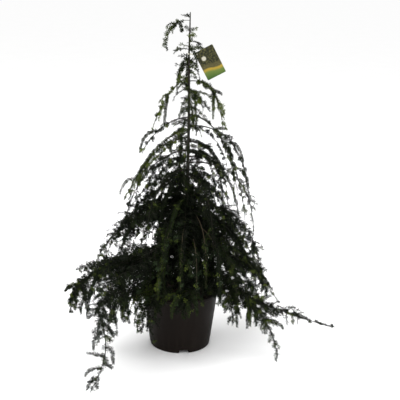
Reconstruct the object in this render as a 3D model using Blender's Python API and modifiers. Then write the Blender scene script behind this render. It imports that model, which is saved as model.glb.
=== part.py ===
"""Weeping hemlock in a nursery pot, as separate solids: pot, soil, trunk, tag, boughs and foliage masses.

Metres, +Z up. The origin is the centre of the pot's flat underside, and -Y is the front.
Each limb is one arching line from the trunk. Its bare inner part is a bough, and the rest is the
stem of a foliage mass, which carries toothed sprays. A mass keeps to the space that is nearer to
its own limb than to any other.
"""
import math
import random

import bmesh
import bpy
from mathutils import Matrix, Vector
from mathutils.kdtree import KDTree

OBJECT_NAME = "weeping_hemlock"
TOUCH_GAP = 0.0003
MERGE = 0.0001

# Pot: a thin tapered bucket with a rolled lip, a foot ring and a raised floor.
POT_HEIGHT = 0.215
POT_RIM_RADIUS = 0.1425
POT_BASE_RADIUS = 0.1125
POT_WALL = 0.002
POT_SEGMENTS = 36
LIP_HEIGHT = 0.014
LIP_STEP = 0.0025
FOOT_WIDTH = 0.010
FLOOR_UNDERSIDE = 0.0145
FLOOR_THICKNESS = 0.002
PAD_RADIUS = 0.030
PAD_FLARE = 0.002
NOTCH_COUNT = 4
NOTCH_TURN = math.radians(8.9)
NOTCH_WIDTH_LOW = 0.038
NOTCH_WIDTH_HIGH = 0.029
NOTCH_HEIGHT = 0.0135
NOTCH_DEPTH = 0.030

# Soil fills the pot to a flat top a finger's width under the rim.
SOIL_TOP = 0.195

# Trunk: (height above the soil, radius, sideways place, sway to the back).
TRUNK_RINGS = (
    (0.000, 0.0135, 0.022, 0.000),
    (0.006, 0.0125, 0.022, 0.000),
    (0.022, 0.0104, 0.022, 0.000),
    (0.060, 0.0094, 0.021, 0.001),
    (0.130, 0.0086, 0.020, 0.002),
    (0.210, 0.0078, 0.0185, 0.001),
    (0.300, 0.0070, 0.018, -0.001),
    (0.400, 0.0063, 0.0175, -0.002),
    (0.500, 0.0057, 0.018, -0.001),
    (0.600, 0.0052, 0.019, 0.001),
    (0.700, 0.0047, 0.0185, 0.002),
    (0.790, 0.0041, 0.0165, 0.001),
    (0.880, 0.0034, 0.015, 0.000),
    (0.960, 0.0028, 0.0165, -0.001),
    (1.032, 0.0018, 0.0170, -0.001),
)
TRUNK_BEVEL_STEPS = 3

# Tag: a thin card with a strap that loops round the upper trunk.
TAG_WIDTH = 0.070
TAG_LENGTH = 0.106
TAG_THICKNESS = 0.0010
TAG_TOP_CENTRE = Vector((0.0640, -0.014, 1.1050))
TAG_TILT = math.radians(28.4)
TAG_CORNER = 0.003
STRAP_HEIGHT = 1.084
STRAP_RADIUS = 0.0016
STRAP_WIDTH = 0.006
STRAP_SIDES = 12
STRAP_INSET = 0.008

# Limbs: name, height on the trunk, compass angle (0 right, 90 back, 180 left, 270 front), reach,
# tip height, spread (1 straight out, 3 hangs down soon), lift at the root, bare share of its length.
LIMBS = (
    ("top_left", 1.199, 181, 0.080, 1.099, 2.2, 0.010, 0.0),
    ("upper_right", 1.127, 28, 0.055, 1.078, 1.6, 0.020, 0.0),
    ("upper_left", 1.100, 188, 0.055, 1.084, 1.3, 0.020, 0.0),
    ("upper_back", 1.066, 95, 0.080, 0.943, 2.0, 0.020, 0.0),
    ("upper_front", 1.045, 222, 0.052, 0.969, 2.2, 0.030, 0.0),
    ("left_hanging", 1.006, 186, 0.130, 0.806, 1.15, -0.070, 0.0),
    ("right_hanging", 0.990, 4, 0.125, 0.800, 1.7, 0.030, 0.0),
    ("back_hanging", 0.954, 78, 0.135, 0.770, 1.8, 0.030, 0.0),
    ("front_tuft", 0.913, 290, 0.048, 0.821, 2.0, 0.020, 0.0),
    ("high_left", 0.862, 179, 0.165, 0.725, 1.2, -0.015, 0.30),
    ("high_right", 0.870, 347, 0.215, 0.500, 1.35, 0.000, 0.33),
    ("outer_right", 0.830, 20, 0.235, 0.590, 1.5, 0.020, 0.40),
    ("left_strand", 0.812, 196, 0.236, 0.568, 1.1, -0.160, 0.0),
    ("high_back", 0.841, 100, 0.200, 0.565, 2.0, 0.050, 0.0),
    ("front_strand", 0.780, 262, 0.075, 0.586, 2.6, 0.010, 0.0),
    ("arch_right", 0.772, 334, 0.155, 0.606, 1.4, 0.050, 0.0),
    ("mid_left", 0.742, 171, 0.235, 0.445, 1.35, -0.030, 0.26),
    ("mid_right", 0.698, 355, 0.245, 0.433, 1.9, 0.050, 0.28),
    ("mid_front_left", 0.673, 222, 0.190, 0.402, 1.9, 0.030, 0.0),
    ("mid_front_right", 0.652, 303, 0.180, 0.392, 1.9, 0.030, 0.0),
    ("mid_back_left", 0.698, 134, 0.240, 0.423, 1.9, 0.050, 0.0),
    ("mid_back_right", 0.714, 54, 0.235, 0.433, 1.9, 0.050, 0.0),
    ("wide_left", 0.568, 186, 0.325, 0.330, 1.2, 0.000, 0.26),
    ("wide_right", 0.550, 350, 0.275, 0.285, 1.8, 0.040, 0.28),
    ("wide_front_left", 0.504, 240, 0.255, 0.230, 1.8, 0.040, 0.0),
    ("wide_front", 0.525, 268, 0.185, 0.255, 2.0, 0.030, 0.0),
    ("wide_back", 0.535, 94, 0.300, 0.260, 1.8, 0.050, 0.0),
    ("wide_front_right", 0.468, 318, 0.255, 0.185, 1.9, 0.030, 0.0),
    ("wide_back_left", 0.484, 144, 0.325, 0.230, 1.8, 0.050, 0.0),
    ("wide_back_right", 0.458, 44, 0.310, 0.220, 1.8, 0.050, 0.0),
    ("low_front_left", 0.417, 236, 0.540, 0.014, 2.6, 0.080, 0.24),
    ("low_left", 0.371, 204, 0.440, 0.235, 1.3, 0.070, 0.25),
    ("low_left_hanging", 0.336, 245, 0.300, 0.160, 2.0, 0.030, 0.0),
    ("low_right_long", 0.300, 351, 0.560, 0.106, 1.0, -0.285, 0.28),
    ("low_right_hanging", 0.346, 329, 0.390, 0.030, 1.6, -0.120, 0.30),
    ("low_right", 0.392, 3, 0.305, 0.195, 1.5, 0.030, 0.0),
    ("low_left_under", 0.300, 216, 0.330, 0.150, 1.6, 0.020, 0.0),
    ("low_front", 0.290, 270, 0.245, 0.190, 2.0, 0.050, 0.0),
    ("low_front_right", 0.320, 311, 0.260, 0.160, 1.9, 0.030, 0.0),
    ("low_back", 0.331, 90, 0.420, 0.120, 1.8, 0.070, 0.28),
    ("low_back_left", 0.305, 160, 0.430, 0.110, 1.8, 0.070, 0.28),
    ("low_back_right", 0.275, 40, 0.400, 0.105, 1.8, 0.080, 0.28),
)
LIMB_SAMPLES = 48
FALL_POWER = 2.0

# Boughs: their root is at most a share of the trunk's radius there.
BOUGH_SHARE_OF_TRUNK = 0.50
BOUGH_BASE = 0.0016
BOUGH_THICKEN = 0.0068
BOUGH_STEP = 0.045
BOUGH_BEVEL_STEPS = 1
LIMB_TIP = 0.0009
LIMB_TAPER = 0.8
JOINT_NECK = 0.006

# Sprays: slim three-sided cores whose upper faces rise into needle teeth. Limbs under LOW_LIMB
# bear the largest ones, and limbs over HIGH_LIMB the smallest.
SPRAY_SEED = 20
LOW_LIMB = 0.52
HIGH_LIMB = 0.86
HIGH_SIZE = 0.60
SPRAY_SPACING = 0.043
SPRAY_START = 0.020
SPRAY_END = 0.95
SPRAY_LONG = 0.150
SPRAY_SHORT = 0.050
SPRAY_PER_LIMB = 0.2
SPRAY_LENGTHS = (0.85, 1.25)
SPRAY_SIZES = (1.0, 0.72, 0.5)
SPRAY_STEP = 0.0260
SPRAY_CORE = 0.0019
SPRAY_CORE_TIP = 0.35
SPRAY_ANGLES = (math.radians(39.0), math.radians(62.0))
SPRAY_TURNS = (math.radians(27.0), math.radians(90.0))
SPRAY_UNDER_OVER = (-1.0, 0.6)
SPRAY_DROOP = 0.65
SPRAY_ROLL = math.radians(80.0)
TOOTH_LENGTH = 0.0260
TOOTH_FORWARD = 0.0100
TOOTH_RISE = 0.12
TIP_SHRINK = 0.5

# Stems: three-sided lofts from the bough's end to the limb's tip, with needle teeth on both sides.
# Dense masses, on limbs between two heights, have a core in the inner part of their stem: each
# face carries a long drooping shoot, as long as the room beside its limb allows.
STEM_STEP = 0.036
STEM_TOOTH = 0.80
CORE_LOWEST = 0.27
CORE_HIGHEST = 0.76
CORE_END = 0.74
CORE_THICK = 0.0055
SHOOT_LONG = 0.095
SHOOT_TAPER = 0.60
SHOOT_FORWARD = 0.45
SHOOT_DROOP = 0.35
SHOOT_FANS = (150.0, 270.0, 30.0)
LOWER_FAN = 270.0
SHOOT_TURN = 25.0
SHOOT_LENGTHS = (0.75, 1.15)
SHOOT_SIZES = (1.0, 0.75, 0.55, 0.4)

# Clearances that a spray or shoot keeps.
OWN_MARGIN = 0.0025
LIMB_CLEAR = 0.0085
TRUNK_CLEAR = 0.0030
TAG_CLEAR = 0.0040
STRAP_BOX = (-0.002, 0.050, 0.016, 0.012)
RIM_OUTSIDE = 0.005
RIM_INSIDE = 0.012
RIM_OVER = 0.006
SOIL_CLEAR = 0.004
LOWEST_NEEDLE = 0.0085


def clear_scene():
    """Empty the scene so that only the model is left."""
    for item in list(bpy.data.objects):
        bpy.data.objects.remove(item)


def new_collection(name):
    """A collection linked under the scene's own."""
    group = bpy.data.collections.new(name)
    bpy.context.scene.collection.children.link(group)
    return group


def plain_material(name, colour, roughness):
    """A non-metallic Principled material."""
    material = bpy.data.materials.new(name)
    material.use_nodes = True
    shader = material.node_tree.nodes["Principled BSDF"]
    shader.inputs["Base Color"].default_value = (*colour, 1.0)
    shader.inputs["Roughness"].default_value = roughness
    shader.inputs["Metallic"].default_value = 0.0
    return material


def object_from_bmesh(name, mesh_data, group, material):
    """Turn a bmesh into a linked object with one material."""
    mesh = bpy.data.meshes.new(name)
    mesh_data.to_mesh(mesh)
    mesh_data.free()
    mesh.materials.append(material)
    item = bpy.data.objects.new(name, mesh)
    group.objects.link(item)
    return item


def evaluated_mesh(item):
    """The object's mesh with its modifiers applied."""
    bpy.context.view_layer.update()
    graph = bpy.context.evaluated_depsgraph_get()
    return bpy.data.meshes.new_from_object(item.evaluated_get(graph), depsgraph=graph)


def apply_modifiers(item):
    """Replace the object's mesh by its evaluated one."""
    mesh = evaluated_mesh(item)
    item.modifiers.clear()
    item.data = mesh


def add_boolean(item, operation, solver="EXACT", other=None, group=None):
    """Add a Boolean modifier against one object or a collection."""
    modifier = item.modifiers.new(operation.lower(), "BOOLEAN")
    modifier.operation = operation
    modifier.solver = solver
    if group is None:
        modifier.object = other
        return modifier
    modifier.operand_type = "COLLECTION"
    modifier.collection = group
    return modifier


def hide_cutter(item):
    """Mark a helper as a cutter."""
    item.hide_render = True
    item.display_type = "WIRE"


def turned_solid(name, profile, group, material, segments):
    """Turn a closed half profile, drawn from the top of its outer side down, round the Z axis."""
    outline = bmesh.new()
    points = [outline.verts.new((radius, 0.0, height)) for radius, height in profile]
    for first, second in zip(points, points[1:]):
        outline.edges.new((first, second))
    item = object_from_bmesh(name, outline, group, material)
    screw = item.modifiers.new("turn", "SCREW")
    screw.steps = segments
    screw.render_steps = segments
    screw.use_merge_vertices = True
    screw.merge_threshold = MERGE
    apply_modifiers(item)
    return item


def tube(name, points, radii, group, material, bevel_steps):
    """A tapering tube through the points, as a closed mesh."""
    curve = bpy.data.curves.new(name, "CURVE")
    curve.dimensions = "3D"
    curve.bevel_depth = 1.0
    curve.bevel_resolution = bevel_steps
    curve.use_fill_caps = True
    spline = curve.splines.new("POLY")
    spline.points.add(len(points) - 1)
    for place, point, radius in zip(spline.points, points, radii):
        place.co = (*point, 1.0)
        place.radius = radius
    guide = bpy.data.objects.new(name + "_line", curve)
    group.objects.link(guide)
    mesh = evaluated_mesh(guide)
    bpy.data.objects.remove(guide)
    welded = bmesh.new()
    welded.from_mesh(mesh)
    bmesh.ops.remove_doubles(welded, verts=welded.verts, dist=MERGE * 0.1)
    bmesh.ops.recalc_face_normals(welded, faces=welded.faces)
    return object_from_bmesh(name, welded, group, material)


# ---------------------------------------------------------------- pot and soil

def pot_radius(height):
    """Outer radius of the pot's tapered wall at a height."""
    wall_top = POT_RIM_RADIUS - LIP_STEP
    return POT_BASE_RADIUS + (wall_top - POT_BASE_RADIUS) * height / POT_HEIGHT


def build_pot(group, cutters, material):
    """Bucket with a lip, a raised floor on a foot ring and a pad, and notches through the ring."""
    lip_low = POT_HEIGHT - LIP_HEIGHT
    floor_top = FLOOR_UNDERSIDE + FLOOR_THICKNESS
    profile = (
        (POT_RIM_RADIUS - 0.0008, POT_HEIGHT),
        (POT_RIM_RADIUS, POT_HEIGHT - 0.0012),
        (POT_RIM_RADIUS - 0.0008, lip_low),
        (pot_radius(lip_low) - 0.0004, lip_low - 0.001),
        (POT_BASE_RADIUS, 0.0),
        (POT_BASE_RADIUS - FOOT_WIDTH, 0.0),
        (POT_BASE_RADIUS - FOOT_WIDTH - PAD_FLARE, FLOOR_UNDERSIDE),
        (PAD_RADIUS + PAD_FLARE, FLOOR_UNDERSIDE),
        (PAD_RADIUS, 0.0),
        (0.0, 0.0),
    )
    inner = (
        (0.0, floor_top),
        (pot_radius(floor_top) - POT_WALL, floor_top),
        (pot_radius(lip_low) - POT_WALL, lip_low),
        (POT_RIM_RADIUS - 0.0048, POT_HEIGHT),
    )
    closed = profile + inner + profile[:1]
    pot = turned_solid("pot", closed, group, material, POT_SEGMENTS)
    for index in range(NOTCH_COUNT):
        notch = build_notch(index, cutters)
        add_boolean(pot, "DIFFERENCE", other=notch)
    return pot


def build_notch(index, cutters):
    """A trapezoid block across the foot ring."""
    block = bmesh.new()
    bmesh.ops.create_cube(block, size=1.0)
    for corner in block.verts:
        low = corner.co.z < 0.0
        width = NOTCH_WIDTH_LOW if low else NOTCH_WIDTH_HIGH
        corner.co.x *= width
        corner.co.y = corner.co.y * NOTCH_DEPTH - POT_BASE_RADIUS
        corner.co.z = -0.002 if low else NOTCH_HEIGHT
    turn = Matrix.Rotation(NOTCH_TURN + index * math.tau / NOTCH_COUNT, 3, "Z")
    bmesh.ops.rotate(block, verts=block.verts, matrix=turn)
    notch = object_from_bmesh("notch_%d" % index, block, cutters, plain_material("cutter", (1, 1, 1), 1.0))
    hide_cutter(notch)
    return notch


def build_soil(group, material):
    """The filling, a touch smaller than the pot's inside."""
    low = FLOOR_UNDERSIDE + FLOOR_THICKNESS + TOUCH_GAP
    inset = POT_WALL + TOUCH_GAP
    profile = (
        (0.0, SOIL_TOP),
        (pot_radius(SOIL_TOP) - inset, SOIL_TOP),
        (pot_radius(low) - inset, low),
        (0.0, low),
    )
    return turned_solid("soil", profile, group, material, POT_SEGMENTS)


# ---------------------------------------------------------------- trunk and limbs

def trunk_centre(height):
    """Centre and radius of the trunk at a height over the ground."""
    above = height - SOIL_TOP - TOUCH_GAP
    for low, high in zip(TRUNK_RINGS, TRUNK_RINGS[1:]):
        if above <= high[0]:
            share = max(0.0, (above - low[0]) / (high[0] - low[0]))
            radius, across, sway = (a + (b - a) * share for a, b in zip(low[1:], high[1:]))
            return Vector((across, sway, height)), radius
    top = TRUNK_RINGS[-1]
    return Vector((top[2], top[3], height)), top[1]


def build_trunk(name, group, material, swell):
    """The whole trunk, from its flat foot to its tip."""
    foot = SOIL_TOP + TOUCH_GAP
    points = [Vector((across, sway, foot + above)) for above, radius, across, sway in TRUNK_RINGS]
    radii = [ring[1] + swell for ring in TRUNK_RINGS]
    return tube(name, points, radii, group, material, TRUNK_BEVEL_STEPS)


class Limb:
    """One arching line from the trunk, with its bough and its foliage stem."""

    def __init__(self, row):
        self.name, self.height, angle, self.reach, self.tip, self.spread, self.lift, self.bare = row
        self.angle = math.radians(angle)
        self.aside = Vector((-math.sin(self.angle), math.cos(self.angle), 0.0))
        self.root, self.trunk_radius = trunk_centre(self.height)
        self.samples = [self.point(step / LIMB_SAMPLES) for step in range(LIMB_SAMPLES + 1)]
        steps = zip(self.samples, self.samples[1:])
        self.length = sum((after - before).length for before, after in steps)
        thickest = BOUGH_SHARE_OF_TRUNK * self.trunk_radius
        self.thick = min(BOUGH_BASE + BOUGH_THICKEN * self.length, thickest)
        high = (self.height - LOW_LIMB) / (HIGH_LIMB - LOW_LIMB)
        self.size = 1.0 + (HIGH_SIZE - 1.0) * min(1.0, max(0.0, high))
        self.spray_start = max(self.bare, (self.trunk_radius + SPRAY_START) / self.length)
        self.dense = CORE_LOWEST < self.height < CORE_HIGHEST
        self.stem_shares = self.shares(self.bare, 1.0, STEM_STEP * (0.2 + self.size))

    def point(self, share):
        """A point at a share of the limb's run."""
        out = self.reach * (1.0 - (1.0 - share) ** self.spread)
        drop = self.height + self.lift - self.tip
        rise = self.lift * share - drop * share ** FALL_POWER
        away = Vector((math.cos(self.angle), math.sin(self.angle), 0.0))
        return self.root + away * out + Vector((0.0, 0.0, rise))

    def heading(self, share):
        """Unit direction of the limb at a share of its run."""
        step = 0.5 / LIMB_SAMPLES
        before = self.point(max(0.0, share - step))
        after = self.point(min(1.0, share + step))
        return (after - before).normalized()

    def radius(self, share):
        """Radius of the limb at a share of its run."""
        return LIMB_TIP + (self.thick - LIMB_TIP) * (1.0 - share) ** LIMB_TAPER

    def stem_point(self, share):
        """A point on the straight stretches that make up the stem."""
        for before, after in zip(self.stem_shares, self.stem_shares[1:]):
            if share <= after:
                part = (share - before) / (after - before)
                return self.point(before).lerp(self.point(after), part)
        return self.point(self.stem_shares[-1])

    def shares(self, start, end, spacing):
        """Evenly spread shares between two, no further apart than a spacing."""
        count = max(2, round((end - start) * self.length / spacing))
        return [start + (end - start) * step / count for step in range(count + 1)]


def bough_line(limb):
    """Points and radii of a bough, with a straight neck at its outer end."""
    shares = limb.shares(0.0, limb.bare, BOUGH_STEP)
    points = [limb.point(share) for share in shares[:-1]]
    radii = [limb.radius(share) for share in shares]
    end = limb.point(limb.bare)
    neck = limb.heading(limb.bare) * JOINT_NECK
    points += [end - neck, end]
    radii.append(radii[-1])
    return points, radii


# ---------------------------------------------------------------- foliage

def side_frame(forward, aside):
    """Two directions square to a forward one: the sideways one nearest to a given one, and upward."""
    side = (aside - forward * aside.dot(forward)).normalized()
    return side, forward.cross(side)


class Spray:
    """A core line that bends down towards its tip, with needle teeth on both sides."""

    def __init__(self, start, heading, aside, length, size):
        self.size = size
        self.aside = aside
        count = max(2, round(length / (SPRAY_STEP * size)))
        self.points = [start.copy()]
        direction = heading.copy()
        for step in range(count):
            self.points.append(self.points[-1] + direction * (length / count))
            direction = (direction + Vector((0.0, 0.0, -SPRAY_DROOP / count))).normalized()

    def teeth(self):
        """Tips of the teeth, a pair for each step but the one at the root."""
        tips = []
        steps = list(zip(self.points, self.points[1:]))
        for index, (before, after) in enumerate(steps[1:]):
            forward = (after - before).normalized()
            side, up = side_frame(forward, self.aside)
            reach = TOOTH_LENGTH * self.size * (1.0 - TIP_SHRINK * index / len(steps))
            middle = (before + after) * 0.5 + forward * TOOTH_FORWARD * self.size + up * reach * TOOTH_RISE
            tips.append((middle + side * reach, middle - side * reach))
        return tips

    def solid(self, name, group, material):
        """The core's loft, with its two upper rows of faces drawn out to the teeth."""
        last = len(self.points) - 1
        rings = []
        for index, point in enumerate(self.points):
            forward = (self.points[min(index + 1, last)] - self.points[max(index - 1, 0)]).normalized()
            thick = SPRAY_CORE * self.size * (1.0 + (SPRAY_CORE_TIP - 1.0) * index / last)
            rings.append(core_ring(point, side_frame(forward, self.aside), thick))
        teeth = [(None, None, None)] + [(right, None, left) for left, right in self.teeth()]
        return toothed_loft(name, rings, teeth, group, material)


def core_ring(centre, frame, thick):
    """Corners of a three-sided core: one above and two below."""
    side, up = frame
    spokes = [math.radians(angle) for angle in (90.0, 210.0, 330.0)]
    return [centre + (side * math.cos(spoke) + up * math.sin(spoke)) * thick for spoke in spokes]


def toothed_loft(name, corner_rings, teeth, group, material):
    """Loft three-cornered rings, and draw each side face out to its tooth's tip where it has one."""
    shape = bmesh.new()
    rings = [[shape.verts.new(corner) for corner in ring] for ring in corner_rings]
    shape.faces.new(reversed(rings[0]))
    shape.faces.new(rings[-1])
    for tips, before, after in zip(teeth, rings, rings[1:]):
        for corner, tip_point in enumerate(tips):
            following = (corner + 1) % 3
            face = (before[corner], before[following], after[following], after[corner])
            if tip_point is None:
                shape.faces.new(face)
                continue
            tip = shape.verts.new(tip_point)
            for first, second in zip(face, face[1:] + face[:1]):
                shape.faces.new((first, second, tip))
    bmesh.ops.recalc_face_normals(shape, faces=shape.faces)
    return object_from_bmesh(name, shape, group, material)


class Space:
    """The room that belongs to one limb."""

    def __init__(self, limb, limbs):
        self.own = KDTree(len(limb.samples))
        for index, point in enumerate(limb.samples):
            self.own.insert(point, index)
        self.own.balance()
        rest = [point for other in limbs if other is not limb for point in other.samples]
        self.rest = KDTree(len(rest))
        for index, point in enumerate(rest):
            self.rest.insert(point, index)
        self.rest.balance()

    def holds(self, point):
        """Whether the point is nearer to this limb than to others, and clear of what is not foliage."""
        own = self.own.find(point)[2]
        other = self.rest.find(point)[2]
        if other < own + OWN_MARGIN or other < LIMB_CLEAR:
            return False
        centre, radius = trunk_centre(point.z)
        if math.hypot(point.x - centre.x, point.y - centre.y) < radius + TRUNK_CLEAR:
            return False
        return clear_of_pot(point) and clear_of_tag(point)


def clear_of_pot(point):
    """Whether a point is over the soil, outside the pot and off the floor."""
    if point.z < LOWEST_NEEDLE:
        return False
    if point.z > POT_HEIGHT + RIM_OVER:
        return True
    out = math.hypot(point.x, point.y)
    if out > POT_RIM_RADIUS + RIM_OUTSIDE:
        return True
    return out < POT_RIM_RADIUS - RIM_INSIDE and point.z > SOIL_TOP + SOIL_CLEAR


def tag_axes():
    """The card's long, cross and facing directions."""
    down = Vector((math.sin(TAG_TILT), 0.0, -math.cos(TAG_TILT)))
    facing = Vector((0.0, -1.0, 0.0))
    return down, down.cross(facing), facing


def clear_of_tag(point):
    """Whether a point stays off the card and its strap."""
    down, across, facing = tag_axes()
    offset = point - TAG_TOP_CENTRE
    along = offset.dot(down)
    beside = abs(offset.dot(across))
    away = abs(offset.dot(facing))
    inside_length = -TAG_CLEAR < along < TAG_LENGTH + TAG_CLEAR
    if inside_length and beside < TAG_WIDTH / 2 + TAG_CLEAR and away < TAG_CLEAR:
        return False
    left, right, depth, height = STRAP_BOX
    beside_trunk = point.x - trunk_centre(point.z)[0].x
    near_strap = abs(point.z - STRAP_HEIGHT) < height and abs(point.y) < depth
    return not (near_strap and left < beside_trunk < right)


def spray_fits(space, spray):
    """Whether a spray's core and teeth all lie in its space."""
    edge_points = spray.points[1:]
    for pair, base in zip(spray.teeth(), spray.points[1:]):
        for tip in pair:
            edge_points += [tip, (tip + base) / 2]
    return all(space.holds(point) for point in edge_points)


def grow_sprays(limb, space, rule):
    """The side sprays on a stem, in turn to both sides."""
    sprays = []
    run = SPRAY_END - limb.spray_start
    count = max(1, round(run * limb.length / (SPRAY_SPACING * (0.4 + 0.6 * limb.size))))
    for index in range(count):
        share = limb.spray_start + run * (index + rule.uniform(0.2, 0.8)) / count
        forward = limb.heading(share)
        side, up = side_frame(forward, limb.aside)
        turn = (1 if index % 2 else -1) * rule.uniform(*SPRAY_TURNS)
        out = side * math.sin(turn) + up * math.cos(turn) * rule.choice(SPRAY_UNDER_OVER)
        angle = rule.uniform(*SPRAY_ANGLES)
        heading = (forward * math.cos(angle) + out * math.sin(angle)).normalized()
        length = min(SPRAY_LONG, SPRAY_SHORT + limb.length * SPRAY_PER_LIMB) * rule.uniform(*SPRAY_LENGTHS)
        length *= 1.0 - TIP_SHRINK * share
        roll = Matrix.Rotation(rule.uniform(-SPRAY_ROLL, SPRAY_ROLL), 3, heading)
        aside = roll @ heading.cross(forward).normalized()
        for shrink in SPRAY_SIZES:
            spray = Spray(limb.stem_point(share), heading, aside, length * shrink, limb.size)
            if spray_fits(space, spray):
                sprays.append(spray)
                break
    return sprays


def tooth_tip(space, middle, direction, reach):
    """Tip of a tooth or shoot, shortened to fit its space, or None."""
    for shrink in SHOOT_SIZES:
        tip = middle + direction * reach * shrink
        if all(space.holds(middle + (tip - middle) * share) for share in (0.3, 0.6, 1.0)):
            return tip
    return None


def stem_tips(limb, space, middle, share, rule):
    """Tips of the teeth that one stretch of a stem carries, for its left, lower and right face."""
    forward = limb.heading(share)
    side, up = side_frame(forward, limb.aside)
    core = limb.dense and share < CORE_END
    tips = []
    for fan in SHOOT_FANS:
        spoke = math.radians(fan + rule.uniform(-SHOOT_TURN, SHOOT_TURN))
        out = side * math.cos(spoke) + up * math.sin(spoke)
        lean = (out + forward * SHOOT_FORWARD + Vector((0.0, 0.0, -SHOOT_DROOP))).normalized()
        reach = TOOTH_LENGTH * STEM_TOOTH * limb.size * (1.0 - TIP_SHRINK * share)
        if core:
            reach = SHOOT_LONG * limb.size * (1.0 - SHOOT_TAPER * share / CORE_END)
        elif fan == LOWER_FAN:
            tips.append(None)
            continue
        tips.append(tooth_tip(space, middle, lean, reach * rule.uniform(*SHOOT_LENGTHS)))
    return tips


def build_stem(name, limb, space, rule, group, material):
    """A mass's stem as one loft, from its bough's end or from the trunk's core to the limb's tip."""
    shares = list(limb.stem_shares)
    points = [limb.point(share) for share in shares]
    if limb.bare > 0.0:
        heading = limb.heading(limb.bare)
        points[0] = limb.point(limb.bare) + heading * TOUCH_GAP
        points.insert(1, limb.point(limb.bare) + heading * JOINT_NECK)
        shares.insert(1, shares[0])
    rings = []
    teeth = []
    for index, (share, point) in enumerate(zip(shares, points)):
        thick = limb.radius(share)
        if limb.dense and limb.spray_start < share < CORE_END:
            thick = max(thick, CORE_THICK * limb.size * (1.0 - share))
        rings.append(core_ring(point, side_frame(limb.heading(share), limb.aside), thick))
        if share < limb.spray_start or index == 0 or index == len(points) - 1:
            teeth.append((None, None, None))
            continue
        middle = (point + points[index + 1]) / 2
        teeth.append(stem_tips(limb, space, middle, share, rule))
    return toothed_loft(name, rings, teeth, group, material)


def keep_largest_body(item):
    """Drop loose scraps and sealed hollows after a union."""
    shape = bmesh.new()
    shape.from_mesh(item.data)
    bodies = []
    left = set(shape.verts)
    while left:
        body = [left.pop()]
        for vertex in body:
            for edge in vertex.link_edges:
                other = edge.other_vert(vertex)
                if other in left:
                    left.remove(other)
                    body.append(other)
        bodies.append(body)
    bodies.sort(key=len, reverse=True)
    scraps = [vertex for body in bodies[1:] for vertex in body]
    bmesh.ops.delete(shape, geom=scraps, context="VERTS")
    bmesh.ops.triangulate(shape, faces=shape.faces)
    shape.to_mesh(item.data)
    shape.free()


def build_mass(limb, space, trunk_cutter, group, material):
    """One foliage mass: its stem and sprays joined into one solid."""
    rule = random.Random("%s %d" % (limb.name, SPRAY_SEED))
    name = "foliage_" + limb.name
    mass = build_stem(name, limb, space, rule, group, material)
    if limb.bare == 0.0:
        add_boolean(mass, "DIFFERENCE", other=trunk_cutter)
        apply_modifiers(mass)
    sprays = new_collection(name + "_sprays")
    for index, spray in enumerate(grow_sprays(limb, space, rule)):
        spray.solid("%s_spray_%d" % (name, index), sprays, material)
    if sprays.objects:
        add_boolean(mass, "UNION", solver="MANIFOLD", group=sprays)
        apply_modifiers(mass)
    for spray in list(sprays.objects):
        bpy.data.objects.remove(spray)
    bpy.data.collections.remove(sprays)
    keep_largest_body(mass)
    return mass


def build_bough(limb, trunk_cutter, group, material):
    """The bare inner part of a limb, cut to the trunk's surface."""
    points, radii = bough_line(limb)
    bough = tube("bough_" + limb.name, points, radii, group, material, BOUGH_BEVEL_STEPS)
    add_boolean(bough, "DIFFERENCE", other=trunk_cutter)
    apply_modifiers(bough)
    return bough


# ---------------------------------------------------------------- tag

def build_tag(group, material):
    """A card with a flat strap that ends in a loop round the trunk."""
    down, across, facing = tag_axes()
    turn = Matrix((across, down, facing)).transposed()
    card = bmesh.new()
    bmesh.ops.create_cube(card, size=1.0)
    bmesh.ops.scale(card, verts=card.verts, vec=(TAG_WIDTH, TAG_LENGTH, TAG_THICKNESS))
    corners = [edge for edge in card.edges if edge.calc_length() < 2 * TAG_THICKNESS]
    bmesh.ops.bevel(card, geom=corners, offset=TAG_CORNER, segments=2, affect="EDGES", profile=0.5)
    bmesh.ops.rotate(card, verts=card.verts, matrix=turn)
    bmesh.ops.translate(card, verts=card.verts, vec=TAG_TOP_CENTRE + down * TAG_LENGTH / 2)
    tag = object_from_bmesh("plant_tag", card, group, material)
    joined = new_collection("tag_parts")
    centre, radius = trunk_centre(STRAP_HEIGHT)
    inner = radius + TOUCH_GAP
    ring_profile = (
        (inner + STRAP_RADIUS, STRAP_WIDTH / 2),
        (inner + STRAP_RADIUS, -STRAP_WIDTH / 2),
        (inner, -STRAP_WIDTH / 2),
        (inner, STRAP_WIDTH / 2),
        (inner + STRAP_RADIUS, STRAP_WIDTH / 2),
    )
    ring = turned_solid("tag_ring", ring_profile, joined, material, STRAP_SIDES)
    ring.location = centre
    reach = TAG_TOP_CENTRE + down * STRAP_INSET - across * (TAG_WIDTH / 2 - STRAP_INSET)
    start = centre + Vector((inner + STRAP_RADIUS / 2, 0.0, 0.0))
    tube("tag_strap", [start, start.lerp(reach, 0.5), reach], [STRAP_RADIUS] * 3, joined, material, 0)
    add_boolean(tag, "UNION", group=joined)
    apply_modifiers(tag)
    for piece in list(joined.objects):
        bpy.data.objects.remove(piece)
    bpy.data.collections.remove(joined)
    keep_largest_body(tag)
    return tag


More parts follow.
